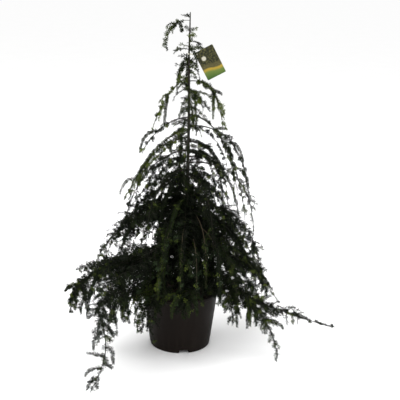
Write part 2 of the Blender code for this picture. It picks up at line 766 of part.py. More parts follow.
def main():
    clear_scene()
    parts = new_collection(OBJECT_NAME)
    cutters = new_collection("cutters")
    pot_plastic = plain_material("pot_plastic", (0.012, 0.010, 0.008), 0.62)
    soil_mix = plain_material("soil_mix", (0.030, 0.021, 0.014), 0.95)
    bark = plain_material("bark", (0.060, 0.048, 0.034), 0.85)
    needles = plain_material("needles", (0.022, 0.030, 0.012), 0.60)
    card = plain_material("tag_card", (0.120, 0.160, 0.050), 0.45)

    build_pot(parts, cutters, pot_plastic)
    build_soil(parts, soil_mix)
    build_trunk("trunk", parts, bark, 0.0)
    trunk_cutter = build_trunk("trunk_cutter", cutters, bark, TOUCH_GAP)
    hide_cutter(trunk_cutter)
    build_tag(parts, card)
    limbs = [Limb(row) for row in LIMBS]
    for limb in limbs:
        if limb.bare > 0.0:
            build_bough(limb, trunk_cutter, parts, bark)
        build_mass(limb, Space(limb, limbs), trunk_cutter, parts, needles)


main()
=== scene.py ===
"""Weeping hemlock in a nursery pot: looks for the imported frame, laid out as an add-on.

Limbs, sprays and shoots follow the rule of the foliage masses, with the same random draws, and are
carried on to finer twigs and single needles within the same reach. Metres, +Z up, -Y is the front.
"""
import functools
import itertools
import math
import random

import bmesh
import bpy
import numpy as np
from bpy.props import FloatProperty, FloatVectorProperty, IntProperty, PointerProperty
from mathutils import Matrix, Vector
from mathutils.kdtree import KDTree


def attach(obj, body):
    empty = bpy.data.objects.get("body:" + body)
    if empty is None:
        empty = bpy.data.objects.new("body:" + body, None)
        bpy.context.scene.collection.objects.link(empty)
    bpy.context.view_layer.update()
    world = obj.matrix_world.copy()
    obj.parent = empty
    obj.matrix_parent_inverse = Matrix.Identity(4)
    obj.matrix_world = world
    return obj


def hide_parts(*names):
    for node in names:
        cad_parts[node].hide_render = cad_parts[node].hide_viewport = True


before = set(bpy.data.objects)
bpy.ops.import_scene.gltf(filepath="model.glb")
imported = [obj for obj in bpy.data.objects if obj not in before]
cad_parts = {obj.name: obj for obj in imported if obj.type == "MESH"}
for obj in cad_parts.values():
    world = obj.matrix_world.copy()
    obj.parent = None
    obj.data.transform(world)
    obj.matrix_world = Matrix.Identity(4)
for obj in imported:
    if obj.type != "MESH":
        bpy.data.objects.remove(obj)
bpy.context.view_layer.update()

bl_info = {
    "name": "Weeping hemlock",
    "version": (1, 0, 0),
    "blender": (4, 5, 0),
    "location": "3D View > Sidebar > Hemlock",
    "description": "Pot, soil, bark, twigs, needles and tag of a potted weeping hemlock",
    "category": "Add Mesh",
}

BODY = "root"

# Front view: where the camera stands, its tilt and roll in degrees, and its focal length in steps of a
# frame that is as many steps high as it is wide.
VIEW_PLACE = Vector((0.065, -3.0, 1.39))
VIEW_TILT = 15.5
VIEW_ROLL = 1.32
VIEW_FRAME = 400.0
VIEW_FOCAL = 854.6
SENSOR_WIDTH = 36.0

# Stage: half the floor's width, and the lamps: name, place, aim and share of the power.
FLOOR_REACH = 60.0
LAMP_SIZE = 3.6
LAMPS = (
    ("key_lamp", (-1.4, -2.0, 3.6), (0.0, 0.0, 0.4), 1.0),
    ("back_lamp", (1.2, 2.4, 3.4), (0.0, 0.0, 0.5), 0.6),
)

# Pot.
POT_HEIGHT = 0.215
POT_RIM_RADIUS = 0.1425
POT_BASE_RADIUS = 0.1125
POT_WALL = 0.002
LIP_HEIGHT = 0.014
LIP_STEP = 0.0025
FOOT_WIDTH = 0.010
FLOOR_UNDERSIDE = 0.0145
FLOOR_THICKNESS = 0.002
PAD_RADIUS = 0.030
PAD_FLARE = 0.002
NOTCH_COUNT = 4
NOTCH_TURN = math.radians(8.9)
NOTCH_WIDTH_LOW = 0.038
NOTCH_WIDTH_HIGH = 0.029
NOTCH_HEIGHT = 0.0135
NOTCH_DEPTH = 0.030
SOIL_TOP = 0.195
CHIP_DENSITY = 60000.0
BED_GAP = 0.0006
BED_TOP = 0.0012
BED_UNDERSIDE = 0.0002
BED_RINGS = 44
BED_SEGMENTS = 110
POT_SEGMENTS = 144
TOUCH_GAP = 0.0003

# Trunk: (height above the soil, radius, sideways place, sway to the back).
TRUNK_RINGS = (
    (0.000, 0.0135, 0.022, 0.000),
    (0.006, 0.0125, 0.022, 0.000),
    (0.022, 0.0104, 0.022, 0.000),
    (0.060, 0.0094, 0.021, 0.001),
    (0.130, 0.0086, 0.020, 0.002),
    (0.210, 0.0078, 0.0185, 0.001),
    (0.300, 0.0070, 0.018, -0.001),
    (0.400, 0.0063, 0.0175, -0.002),
    (0.500, 0.0057, 0.018, -0.001),
    (0.600, 0.0052, 0.019, 0.001),
    (0.700, 0.0047, 0.0185, 0.002),
    (0.790, 0.0041, 0.0165, 0.001),
    (0.880, 0.0034, 0.015, 0.000),
    (0.960, 0.0028, 0.0165, -0.001),
    (1.032, 0.0018, 0.0170, -0.001),
)

# Tag.
TAG_WIDTH = 0.070
TAG_LENGTH = 0.106
TAG_THICKNESS = 0.0010
TAG_TOP_CENTRE = Vector((0.0640, -0.014, 1.1050))
TAG_TILT = math.radians(28.4)
STRAP_HEIGHT = 1.084
STRAP_INSET = 0.008
CARD_GRID = (28, 42)
CARD_CORNER = 0.003
CARD_CURL = 0.0016

# Strap: clearance round the trunk, first turn and whole turn of its loop, steps, rise, half its width and
# thickness, and how it leads from the card to the loop: share of the way and distance off the card.
STRAP_OFF_TRUNK = 0.0014
STRAP_TURNS = (-40.0, 320.0)
STRAP_STEPS = 32
STRAP_RISE = 0.001
STRAP_HALVES = (0.0024, 0.0005)
STRAP_LEAD = ((0.0, 0.0008), (0.35, 0.001), (0.7, 0.0006))

# Limbs: name, height on the trunk, compass angle (0 right, 90 back, 180 left, 270 front), reach,
# tip height, spread (1 straight out, 3 hangs down soon), lift at the root, bare share of its length,
# fullness of its sprays.
LIMBS = (
    ("top_left", 1.199, 181, 0.080, 1.099, 2.2, 0.010, 0.0, 0.7),
    ("upper_right", 1.127, 28, 0.055, 1.078, 1.6, 0.020, 0.0, 1.0),
    ("upper_left", 1.100, 188, 0.055, 1.084, 1.3, 0.020, 0.0, 1.0),
    ("upper_back", 1.066, 95, 0.080, 0.943, 2.0, 0.020, 0.0, 1.0),
    ("upper_front", 1.045, 222, 0.052, 0.969, 2.2, 0.030, 0.0, 1.0),
    ("left_hanging", 1.006, 186, 0.130, 0.806, 1.15, -0.070, 0.0, 1.0),
    ("right_hanging", 0.990, 4, 0.125, 0.800, 1.7, 0.030, 0.0, 1.0),
    ("back_hanging", 0.954, 78, 0.135, 0.770, 1.8, 0.030, 0.0, 1.0),
    ("front_tuft", 0.913, 290, 0.048, 0.821, 2.0, 0.020, 0.0, 1.0),
    ("high_left", 0.862, 179, 0.165, 0.725, 1.2, -0.015, 0.30, 0.45),
    ("high_right", 0.870, 347, 0.215, 0.500, 1.35, 0.000, 0.33, 0.45),
    ("outer_right", 0.830, 20, 0.235, 0.590, 1.5, 0.020, 0.40, 0.45),
    ("left_strand", 0.812, 196, 0.236, 0.568, 1.1, -0.160, 0.0, 0.6),
    ("high_back", 0.841, 100, 0.200, 0.565, 2.0, 0.050, 0.0, 0.5),
    ("front_strand", 0.780, 262, 0.075, 0.586, 2.6, 0.010, 0.0, 0.4),
    ("arch_right", 0.772, 334, 0.155, 0.606, 1.4, 0.050, 0.0, 0.35),
    ("mid_left", 0.742, 171, 0.235, 0.445, 1.35, -0.030, 0.26, 0.2),
    ("mid_right", 0.698, 355, 0.245, 0.433, 1.9, 0.050, 0.28, 0.2),
    ("mid_front_left", 0.673, 222, 0.190, 0.402, 1.9, 0.030, 0.0, 0.35),
    ("mid_front_right", 0.652, 303, 0.180, 0.392, 1.9, 0.030, 0.0, 0.35),
    ("mid_back_left", 0.698, 134, 0.240, 0.423, 1.9, 0.050, 0.0, 0.22),
    ("mid_back_right", 0.714, 54, 0.235, 0.433, 1.9, 0.050, 0.0, 0.22),
    ("wide_left", 0.568, 186, 0.325, 0.330, 1.2, 0.000, 0.26, 0.4),
    ("wide_right", 0.550, 350, 0.275, 0.285, 1.8, 0.040, 0.28, 0.35),
    ("wide_front_left", 0.504, 240, 0.255, 0.230, 1.8, 0.040, 0.0, 0.8),
    ("wide_front", 0.525, 268, 0.185, 0.255, 2.0, 0.030, 0.0, 1.0),
    ("wide_back", 0.535, 94, 0.300, 0.260, 1.8, 0.050, 0.0, 0.8),
    ("wide_front_right", 0.468, 318, 0.255, 0.185, 1.9, 0.030, 0.0, 0.8),
    ("wide_back_left", 0.484, 144, 0.325, 0.230, 1.8, 0.050, 0.0, 0.4),
    ("wide_back_right", 0.458, 44, 0.310, 0.220, 1.8, 0.050, 0.0, 0.4),
    ("low_front_left", 0.417, 236, 0.540, 0.014, 2.6, 0.080, 0.24, 1.0),
    ("low_left", 0.371, 204, 0.440, 0.235, 1.3, 0.070, 0.25, 1.0),
    ("low_left_hanging", 0.336, 245, 0.300, 0.160, 2.0, 0.030, 0.0, 1.0),
    ("low_right_long", 0.300, 351, 0.560, 0.106, 1.0, -0.285, 0.28, 1.0),
    ("low_right_hanging", 0.346, 329, 0.390, 0.030, 1.6, -0.120, 0.30, 1.0),
    ("low_right", 0.392, 3, 0.305, 0.195, 1.5, 0.030, 0.0, 0.5),
    ("low_left_under", 0.300, 216, 0.330, 0.150, 1.6, 0.020, 0.0, 1.0),
    ("low_front", 0.290, 270, 0.245, 0.190, 2.0, 0.050, 0.0, 0.4),
    ("low_front_right", 0.320, 311, 0.260, 0.160, 1.9, 0.030, 0.0, 0.6),
    ("low_back", 0.331, 90, 0.420, 0.120, 1.8, 0.070, 0.28, 1.0),
    ("low_back_left", 0.305, 160, 0.430, 0.110, 1.8, 0.070, 0.28, 1.0),
    ("low_back_right", 0.275, 40, 0.400, 0.105, 1.8, 0.080, 0.28, 1.0),
)
LIMB_SAMPLES = 48
FALL_POWER = 2.0
BOUGH_SHARE_OF_TRUNK = 0.50
BOUGH_BASE = 0.0016
BOUGH_THICKEN = 0.0068
LIMB_TIP = 0.0009
LIMB_TAPER = 0.8
JOINT_NECK = 0.006

# Sprays and shoots, as in the foliage masses.
SPRAY_SEED = 20
JITTER = (0.2, 0.8)
SIZE_FLOOR = 0.4
LOW_LIMB = 0.52
HIGH_LIMB = 0.86
HIGH_SIZE = 0.60
SPRAY_SPACING = 0.043
SPRAY_START = 0.020
SPRAY_END = 0.95
SPRAY_LONG = 0.150
SPRAY_SHORT = 0.050
SPRAY_PER_LIMB = 0.2
SPRAY_LENGTHS = (0.85, 1.25)
SPRAY_SIZES = (1.0, 0.72, 0.5)
SPRAY_STEP = 0.0260
SPRAY_ANGLES = (math.radians(39.0), math.radians(62.0))
SPRAY_TURNS = (math.radians(27.0), math.radians(90.0))
SPRAY_UNDER_OVER = (-1.0, 0.6)
SPRAY_DROOP = 0.65
SPRAY_ROLL = math.radians(80.0)
TOOTH_LENGTH = 0.0260
TOOTH_FORWARD = 0.0100
TOOTH_RISE = 0.12
TIP_SHRINK = 0.5
STEM_STEP = 0.036
STEM_STEP_BASE = 0.2
STEM_TOOTH = 0.80
CORE_LOWEST = 0.27
CORE_HIGHEST = 0.76
CORE_END = 0.74
SHOOT_LONG = 0.095
SHOOT_TAPER = 0.60
SHOOT_FORWARD = 0.45
SHOOT_DROOP = 0.35
SHOOT_FANS = (150.0, 270.0, 30.0)
LOWER_FAN = 270.0
SHOOT_TURN = 25.0
SHOOT_LENGTHS = (0.75, 1.15)
SHOOT_SIZES = (1.0, 0.75, 0.55, 0.4)
OWN_MARGIN = 0.0025
LIMB_CLEAR = 0.0085
TRUNK_CLEAR = 0.0030
TAG_CLEAR = 0.0040
STRAP_BOX = (-0.002, 0.050, 0.016, 0.012)
RIM_OUTSIDE = 0.005
RIM_INSIDE = 0.012
RIM_OVER = 0.006
SOIL_CLEAR = 0.004
LOWEST_NEEDLE = 0.0085

# Finer growth.
LINE_STEP = 0.012
SPRAY_THICK = 0.0009
SIDE_THICK = 0.0006
TWIG_DROOP = 0.45
SHOOT_SAG = 0.16
SIDE_FIRST = 0.10
SIDE_ANGLES = (math.radians(36.0), math.radians(62.0))
SIDE_TILT = math.radians(24.0)
SIDE_LENGTHS = (0.50, 1.10)
SIDE_TAPER = 0.60
SIDE_STEPS = 2
SIDE_SHARE = 0.45
SIDE_GAP_SHARE = 0.9
SIDE_SIZE_FLOOR = 0.35
TWIG_TAPER = 0.5
SHOOT_ROLL = 0.7
SHORTEST_SIDE = 0.007
SHORTEST_SPRAY = 0.018
FILL_FANS = (200.0, 340.0, 90.0)
STEM_BARE = 0.12
STEM_TINT_SHARE = 0.6
STEM_GAP_SHARE = 0.5
STEM_SIDE_SHARE = 0.8
HANG_BELOW = 0.76
HANG_SPACING = 0.016
HANG_FIRST = 0.06
HANG_LAST = 0.93
HANG_LENGTHS = (0.055, 0.125)
HANG_DROOP = 1.35
HANG_SIZES = (1.0, 0.7, 0.45)
HANG_JITTER = (0.1, 0.9)
HANG_FLAT = 0.6
HANG_FORWARD = 0.5
HANG_INWARD_FROM = 0.3
HANG_INWARD = 1.3
HANG_SHORTEN = 0.55
HANG_KEPT = 1.25
HANG_KEPT_FALL = 0.9
TRUNK_TWIGS = (0.205, 1.17)
TRUNK_TWIG_STEP = 0.0065
TRUNK_TWIG_SHORT = (0.020, 0.050)
TRUNK_TWIG_LONG = (0.060, 0.130)
TRUNK_TWIG_RISES = (-0.2, 0.8)
TRUNK_TWIG_TINTS = (0.2, 0.9)
TRUNK_STEP_HIGH = 1.6
TRUNK_STEP_LESS = 0.9
TRUNK_BARE_BACK = 0.3
TRUNK_DENSE = (0.57, 0.69)
TRUNK_BARE = (0.72, 0.93)
STRANDS = (0.40, 0.80)
STRAND_STEP = 0.0072
STRAND_HIGH = 0.66
STRAND_HIGH_EVERY = 4
STRAND_CLEAR_FRONT = 0.45
STRAND_FRONT_SHARE = 0.5
STRAND_TURN = 137.5
STRAND_REACHES = (0.245, 0.150)
STRAND_SHARES = (0.30, 1.0)
STRAND_DROPS = (0.12, 0.25)
STRAND_SPREADS = (1.2, 2.0)
STRAND_LIFTS = (-0.03, 0.04)
STRAND_THICK = 0.0013
STRAND_TWIG_SPACING = 0.0085
STRAND_TWIG_LENGTH = 0.022
STRAND_TWIG_START = 0.04
BARE_STRAND_TWIGS = 1.2
ROPE_LIMBS = 0.745
OPEN_LIMBS = 0.63
OPEN_SHOOTS = 0.35
ROPE_GAP = 0.72
ROPE_TWIG_SPACING = 0.0068
TUFT_GAP = 0.42
TUFT_SKIP = 0.47
FEATHER_GAP = 0.72
STRAND_ROLL = 1.3
BARE_STRAND = 0.52

# Steps of tint from a twig to the smaller ones on it: mostly darker, with fresh tips here and there.
# Strands and stems are speckled, and the other twigs are more evenly mixed.
SPECKLED = (-2, -2, -1, -1, 0, 0, 1, 3)
MIXED = (-2, -1, -1, 0, 0, 0, 2)

# The way that feathery sprays turn their flat side.
FACE = Vector((0.0, 1.0, 0.0))

# Limbs whose sprays thin out towards the tip, and the fullness that is left there.
SPARSE_ENDS = {"low_front_left": 0.30, "low_right_long": 0.10, "low_right_hanging": 0.32}

# Spacing of the needles on the stem itself, where it isn't the usual one: nearly bare, or like a rope.
STEM_GAPS = {"low_front_left": 2.4, "low_right_long": 0.50, "low_right_hanging": 0.80, "front_strand": 1.6}

# Limbs that swing aside near the tip: from which share of the run, and by how much.
BENDS = {"low_front_left": (0.62, 0.060)}
BEND_POWER = 0.9

# The stretch of the run over which they thin out, and the wider spacing of needles past it.
SPARSE_FROM = (0.30, 0.60)
SPARSE_GAP = 1.15

# Limbs with more hanging sprays than the others.
DENSE_LIMBS = {
    "low_front_left": 2.0,
    "low_left": 1.4,
    "low_left_hanging": 1.3,
    "low_left_under": 1.3,
    "low_right": 1.2,
}

# Tints from the oldest needles to the freshest. A cool one stands beside them: low in the middle of the
# crown it takes every second of the lighter side twigs.
TINTS = ("old", "dark", "green", "light", "fresh")
NEEDLE_TINTS = (*TINTS, "cool")
COOL = NEEDLE_TINTS.index("cool")
COOL_FROM = 2
COOL_BELOW = 0.54
COOL_BESIDE = 0.17

# How light a twig is: at the root of a limb, and what its share of the run, its limb's height (from a
# height on, over a stretch), a fresh limb and chance add.
TINT_ROOT = 0.02
TINT_ALONG = 0.42
TINT_HIGH = (0.26, 0.58, 0.34)
TINT_TOP = (0.16, 0.85, 0.25)
TINT_FRESH_SOON = 1.6
TINT_SCATTER = 0.14
FRESH_LIMBS = {
    "left_hanging": 0.34,
    "left_strand": 0.30,
    "right_hanging": 0.22,
    "front_strand": 0.02,
    "high_right": 0.20,
    "wide_front_left": 0.14,
    "wide_front_right": 0.13,
    "low_front": 0.06,
    "low_front_right": 0.05,
    "low_right_hanging": 0.12,
    "low_right": 0.06,
}

# Side strands: limb and share of its run, or trunk and height; where the tip is seen in the front view
# (steps across and down) and its depth; spread, lift, tint, fullness. Roots are laid out to a hundredth
# of a run or of a metre of trunk, and the strands themselves to a degree and a millimetre.
PLACE_DIGITS = 2
LENGTH_DIGITS = 3
SIDE_STRANDS = (
    ("trunk", 1.212, 181, 14, -0.015, 1.4, 0.012, 2, 1.0),
    ("top_left", 0.35, 166, 27, 0.0, 1.2, 0.004, 3, 1.0),
    ("top_left", 0.25, 181, 31, -0.01, 1.6, 0.0, 2, 1.0),
    ("trunk", 1.075, 180, 70, -0.02, 1.5, 0.012, 2, 1.0),
    ("trunk", 1.1, 197, 68, -0.03, 1.8, 0.005, 2, 1.0),
    ("trunk", 1.04, 200, 82, -0.02, 1.5, 0.015, 2, 1.0),
    ("left_hanging", 0.5, 164, 127, -0.01, 1.0, 0.0, 2, 0.6),
    ("high_left", 0.6, 140, 153, 0.0, 1.6, 0.01, 2, 0.6),
    ("trunk", 0.823, 129, 192, 0.0, 1.1, -0.05, 3, 1.0),
    ("trunk", 0.785, 128, 208, 0.02, 1.3, -0.02, 2, 1.0),
    ("left_strand", 0.75, 120, 194, 0.0, 1.3, 0.01, 2, 0.5),
    ("left_strand", 0.6, 136, 214, -0.02, 2.0, 0.0, 2, 1.0),
    ("right_hanging", 0.5, 213, 119, -0.02, 1.0, 0.0, 3, 0.8),
    ("right_hanging", 0.45, 222, 95, 0.0, 1.2, 0.0, 1, 0.6),
    ("trunk", 0.95, 211, 99, -0.01, 1.5, 0.02, 3, 1.0),
    ("trunk", 0.94, 203, 112, -0.02, 1.8, 0.01, 2, 1.0),
    ("high_right", 0.35, 227, 130, 0.0, 1.5, 0.01, 2, 0.7),
    ("high_right", 0.5, 243, 166, 0.02, 1.6, 0.02, 1, 0.6),
    ("trunk", 0.778, 224, 176, -0.02, 1.3, -0.01, 1, 0.4),
    ("trunk", 0.74, 211, 165, -0.03, 1.5, 0.01, 1, 0.8),
    ("high_right", 0.7, 249, 199, 0.0, 1.5, 0.01, 2, 0.8),
    ("high_right", 0.5, 234, 206, -0.03, 2.0, 0.0, 3, 1.0),
    ("trunk", 0.67, 229, 207.3, -0.02, 1.4, 0.01, 1, 1.0),
    ("trunk", 0.69, 218, 204, -0.05, 1.5, 0.01, 1, 1.0),
    ("trunk", 0.742, 238, 214, 0.02, 1.4, 0.0, 1, 0.6),
    ("trunk", 0.725, 148, 205, -0.03, 1.4, 0.0, 1, 1.0),
    ("trunk", 0.7, 138, 224, 0.0, 1.3, 0.0, 2, 1.0),
    ("trunk", 0.67, 122, 226, -0.02, 1.3, -0.03, 2, 1.0),
    ("trunk", 0.66, 213, 216, -0.05, 1.6, 0.01, 0, 1.0),
    ("trunk", 0.65, 224, 224, -0.03, 1.5, 0.01, 1, 1.0),
    ("trunk", 0.675, 207, 206, -0.04, 1.6, 0.01, 0, 1.0),
    ("trunk", 0.64, 232, 232, 0.02, 1.4, 0.01, 1, 1.0),
    ("trunk", 0.62, 152, 240, -0.05, 1.4, 0.0, 0, 1.0),
    ("trunk", 0.6, 140, 252, -0.03, 1.3, 0.0, 1, 1.0),
    ("trunk", 0.65, 163, 214, -0.05, 1.5, 0.0, 0, 1.0),
    ("trunk", 0.5, 247, 284, -0.06, 1.3, -0.02, 0, 1.0),
    ("trunk", 0.46, 239, 292, -0.1, 1.3, -0.02, 0, 1.0),
    ("trunk", 0.52, 256, 286, 0.0, 1.3, -0.01, 1, 1.0),
    ("trunk", 0.48, 252, 296, -0.03, 1.2, -0.02, 1, 1.0),
    ("trunk", 0.53, 243, 262, -0.05, 1.4, 0.0, 0, 1.0),
    ("trunk", 0.5, 150, 262, -0.12, 1.4, 0.0, 0, 1.0),
    ("trunk", 0.56, 158, 250, -0.09, 1.4, 0.0, 0, 1.0),
    ("trunk", 0.4, 248, 300, -0.08, 1.2, -0.03, 1, 1.0),
    ("trunk", 0.38, 241, 318, -0.14, 1.2, -0.03, 2, 1.0),
    ("trunk", 0.41, 256, 312, -0.05, 1.2, -0.03, 2, 1.0),
    ("trunk", 0.42, 262, 304, 0.0, 1.1, -0.04, 2, 1.0),
    ("low_right_hanging", 0.35, 237, 327, -0.16, 1.3, 0.0, 2, 1.0),
    ("low_right_hanging", 0.5, 250, 326, -0.18, 1.3, 0.0, 3, 0.8),
    ("low_left", 0.85, 65, 291, -0.16, 1.2, 0.02, 3, 0.7),
    ("low_left", 0.8, 75.7, 309.6, -0.16, 1.8, 0.01, 2, 1.0),
    ("low_front_left", 0.5, 80.8, 314.6, -0.3, 1.8, 0.02, 2, 1.0),
    ("low_left", 0.6, 87, 318, -0.2, 1.5, 0.0, 1, 1.0),
    ("low_front_left", 0.7, 93, 350, -0.43, 1.6, 0.0, 1, 0.3),
    ("low_front_left", 0.67, 113, 337, -0.44, 1.3, 0.004, 1, 0.3),
    ("low_front_left", 0.82, 87, 353, -0.45, 1.3, 0.004, 1, 0.4),
    ("low_front_left", 0.78, 113, 364, -0.46, 2.4, 0.012, 1, 0.3),
    ("low_front_left", 0.86, 112, 368, -0.47, 1.4, 0.0, 1, 0.3),
    ("low_front_left", 0.88, 85, 376, -0.46, 1.4, 0.0, 1, 0.4),
    ("low_front_left", 0.93, 87, 390, -0.46, 1.4, 0.0, 1, 0.5),
    ("low_front_left", 0.95, 97, 389, -0.46, 1.4, 0.0, 1, 0.3),
    ("low_left", 0.88, 65, 291, -0.17, 1.4, 0.012, 1, 0.4),
    ("low_front_left", 0.5, 117, 331, -0.4, 1.1, 0.0, 1, 1.0),
    ("low_front_left", 0.42, 129, 323, -0.33, 1.2, 0.0, 1, 1.0),
    ("low_left_hanging", 0.6, 134, 326, -0.24, 1.6, 0.01, 3, 1.0),
    ("low_left_hanging", 0.55, 122, 317, -0.24, 1.5, 0.01, 3, 1.0),
    ("low_left_hanging", 0.62, 142, 331, -0.25, 1.5, 0.0, 2, 1.0),
    ("low_right_hanging", 0.55, 247, 328, -0.17, 1.5, 0.0, 1, 0.5),
    ("low_right_hanging", 0.6, 256, 326, -0.17, 1.2, 0.005, 1, 0.3),
    ("low_right_hanging", 0.7, 283, 329, -0.18, 1.4, 0.008, 2, 0.2),
    ("low_left", 0.9, 70.5, 312.1, -0.203, 1.3, 0.006, 1, 1.0),
    ("low_left", 0.84, 86.3, 308.6, -0.22, 1.4, 0.0, 0, 1.0),
    ("low_left", 0.95, 70, 303, -0.2, 1.3, 0.01, 1, 0.5),
    ("trunk", 0.5, 180, 297, -0.21, 2.5, 0.03, 2, 0.0),
    ("trunk", 0.52, 163, 286, -0.19, 2.4, 0.03, 2, 0.0),
    ("trunk", 0.48, 220, 292, -0.18, 2.4, 0.03, 1, 0.0),
    ("trunk", 0.47, 196, 298, -0.22, 2.5, 0.03, 1, 0.0),
    ("trunk", 0.46, 157, 308, -0.24, 2.3, 0.03, 3, 0.0),
    ("trunk", 0.53, 206, 288, -0.17, 2.4, 0.03, 2, 0.0),
    ("low_front", 0.55, 155, 317, -0.25, 1.7, 0.02, 3, 0.8),
    ("low_front", 0.6, 171, 318, -0.27, 1.8, 0.02, 2, 0.8),
    ("low_front", 0.62, 189, 317, -0.27, 1.8, 0.02, 2, 0.8),
    ("low_front", 0.5, 203, 304, -0.24, 1.7, 0.02, 2, 0.8),
    ("low_front", 0.4, 178, 306, -0.24, 1.7, 0.02, 1, 0.8),
    ("trunk", 0.43, 207, 268, -0.13, 1.5, 0.0, 0, 1.0),
    ("trunk", 0.41, 199, 276, -0.14, 1.5, 0.0, 0, 1.0),
    ("trunk", 0.45, 214, 262, -0.1, 1.5, 0.0, 0, 1.0),
    ("trunk", 0.5, 278, 301, -0.04, 1.0, -0.15, 3, 1.0),
    ("trunk", 0.54, 269, 284, -0.04, 1.0, -0.14, 2, 1.0),
    ("trunk", 0.6, 261, 272, -0.02, 1.1, -0.14, 3, 1.0),
    ("trunk", 0.87, 238, 204, -0.03, 1.4, 0.01, 2, 1.0),
    ("trunk", 0.83, 228, 172, -0.05, 1.4, 0.01, 1, 1.0),
    ("trunk", 0.6, 107, 252, 0.0, 1.1, -0.05, 1, 1.0),
    ("trunk", 0.57, 98, 256, 0.02, 1.1, -0.06, 2, 1.0),
    ("trunk", 0.64, 118, 232, 0.0, 1.1, -0.05, 1, 1.0),
    ("low_left_hanging", 0.6, 127, 322, -0.22, 1.6, 0.01, 4, 1.0),
    ("low_left_hanging", 0.7, 137, 333, -0.22, 1.6, 0.0, 4, 1.0),
    ("low_left_hanging", 0.6, 116, 314, -0.24, 1.5, 0.01, 2, 1.0),
    ("trunk", 0.575, 167, 268, -0.17, 1.8, 0.03, 2, 0.8),
    ("wide_front_left", 0.35, 163, 306, -0.22, 2.0, 0.0, 2, 0.8),
    ("trunk", 0.555, 217, 268, -0.15, 1.8, 0.03, 1, 0.7),
    ("wide_front_right", 0.35, 219, 302, -0.21, 2.0, 0.0, 1, 0.8),
    ("low_front", 0.5, 172, 318, -0.25, 1.8, 0.02, 3, 1.0),
    ("low_front", 0.5, 197, 316, -0.25, 1.8, 0.02, 2, 1.0),
    ("trunk", 0.96, 173, 101, -0.02, 1.3, 0.012, 2, 1.0),
    ("trunk", 0.925, 181, 112, -0.02, 1.5, 0.006, 3, 1.0),
    ("trunk", 0.985, 179, 85, -0.02, 1.3, 0.01, 3, 1.0),
    ("trunk", 0.9, 179, 118, -0.02, 1.4, 0.008, 2, 1.0),
    ("trunk", 0.965, 201, 104, -0.02, 1.6, 0.006, 3, 1.0),
    ("low_left", 0.3, 127, 301, -0.12, 1.4, 0.0, 0, 1.0),
    ("low_left", 0.45, 114, 304, -0.14, 1.4, 0.0, 0, 1.0),
    ("low_front_left", 0.3, 134, 297, -0.16, 1.5, 0.0, 0, 1.0),
    ("low_left", 0.2, 137, 293, -0.1, 1.5, 0.0, 0, 1.0),
    ("low_left", 0.4, 122, 291, -0.08, 1.3, 0.0, 1, 1.0),
)

# Needles: smallest size high up, half widths and shares along of a needle's corners, angle to the twig,
# how it closes towards the tip, lift, twist, lengths and how they fade to the tip.
NEEDLE_SIZE_HIGH = 0.86
NEEDLE_CORNERS = ((0.0, 0.0), (0.134, 0.30), (0.092, 0.94), (-0.092, 0.94), (-0.134, 0.30))
NEEDLE_ANGLES = (0.95, 1.35)
NEEDLE_CLOSING = -0.35
NEEDLE_LIFT = 0.80
NEEDLE_TWIST = 0.7
NEEDLE_LENGTHS = (0.70, 1.10)
NEEDLE_FADE = -0.40
NEEDLE_FADE_POWER = 3.0

# How far a needle's tip stays over the rim, outside and inside the pot, over soil and floor, off the card.
TIP_OVER_RIM = 0.001
TIP_OUTSIDE = 0.0015
TIP_INSIDE = 0.010
TIP_OVER_SOIL = 0.008
TIP_OVER_FLOOR = 0.0015
TIP_OFF_CARD = 0.002

# Bark: scales of its ridges and knots, their stretch along the limb, and the collars of the boughs.
RIDGE_SCALE = 420.0
KNOT_SCALE = 110.0
BARK_STRETCH = 0.35
TRUNK_SIDES = 26
BOUGH_SIDES = 14
TRUNK_RING_STEP = 0.0022
BOUGH_RING_STEP = 0.0024
BARK_STEP = 0.004
SMOOTH_WINDOW = 9
TRUNK_TIP = 0.0009
BOUGH_OVERLAP = 0.02
COLLAR_REACH = 2.2
COLLAR_SWELL = 0.5

# Tiers of the crown: name, lowest root of its limbs.
TIERS = (
    ("top", 0.900),
    ("high", 0.745),
    ("mid", 0.560),
    ("wide", 0.455),
    ("low", 0.335),
    ("bottom", 0.000),
)
PIECE_LIMIT = 200_000


# -------- settings

def colour_setting(name, description, default):
    """A colour that the panel shows."""
    return FloatVectorProperty(
        name=name, description=description, default=default, size=3, subtype="COLOR", min=0.0, max=1.0
    )


def length_setting(name, description, default):
    """A length that the panel shows."""
    return FloatProperty(name=name, description=description, default=default, unit="LENGTH", min=0.0)


class HEMLOCK_PG_foliage(bpy.types.PropertyGroup):
    needle_length: length_setting("Needle length", "Length of a full needle", 0.0115)
    needle_spacing: length_setting("Needle spacing", "Step along a twig from one needle to the next", 0.0015)
    twig_spacing: length_setting("Twig spacing", "Step along a spray from one side twig to the next", 0.0115)
    side_length: length_setting("Side twig", "Length of the longest side twig", 0.0300)
    seed: IntProperty(name="Seed", description="Seed of the needles' turns", default=7, min=0)
    old: colour_setting("Old needles", "Oldest, inmost needles", (0.0046, 0.0066, 0.0036))
    dark: colour_setting("Dark needles", "Needles in the shade of the crown", (0.0064, 0.0098, 0.0042))
    green: colour_setting("Green needles", "Most of the needles", (0.0108, 0.0165, 0.0052))
    light: colour_setting("Light needles", "Needles of the outer twigs", (0.0310, 0.0435, 0.0095))
    fresh: colour_setting("Fresh needles", "This year's needles on the strands", (0.0700, 0.0930, 0.0190))
    cool: colour_setting("Cool needles", "Lighter twigs low in the middle", (0.0250, 0.0385, 0.0180))
    old_wood: colour_setting("Old wood", "Bark of the older twigs", (0.0110, 0.0085, 0.0060))
    young_wood: colour_setting("Young wood", "Bark of the hanging twigs", (0.0560, 0.0440, 0.0270))


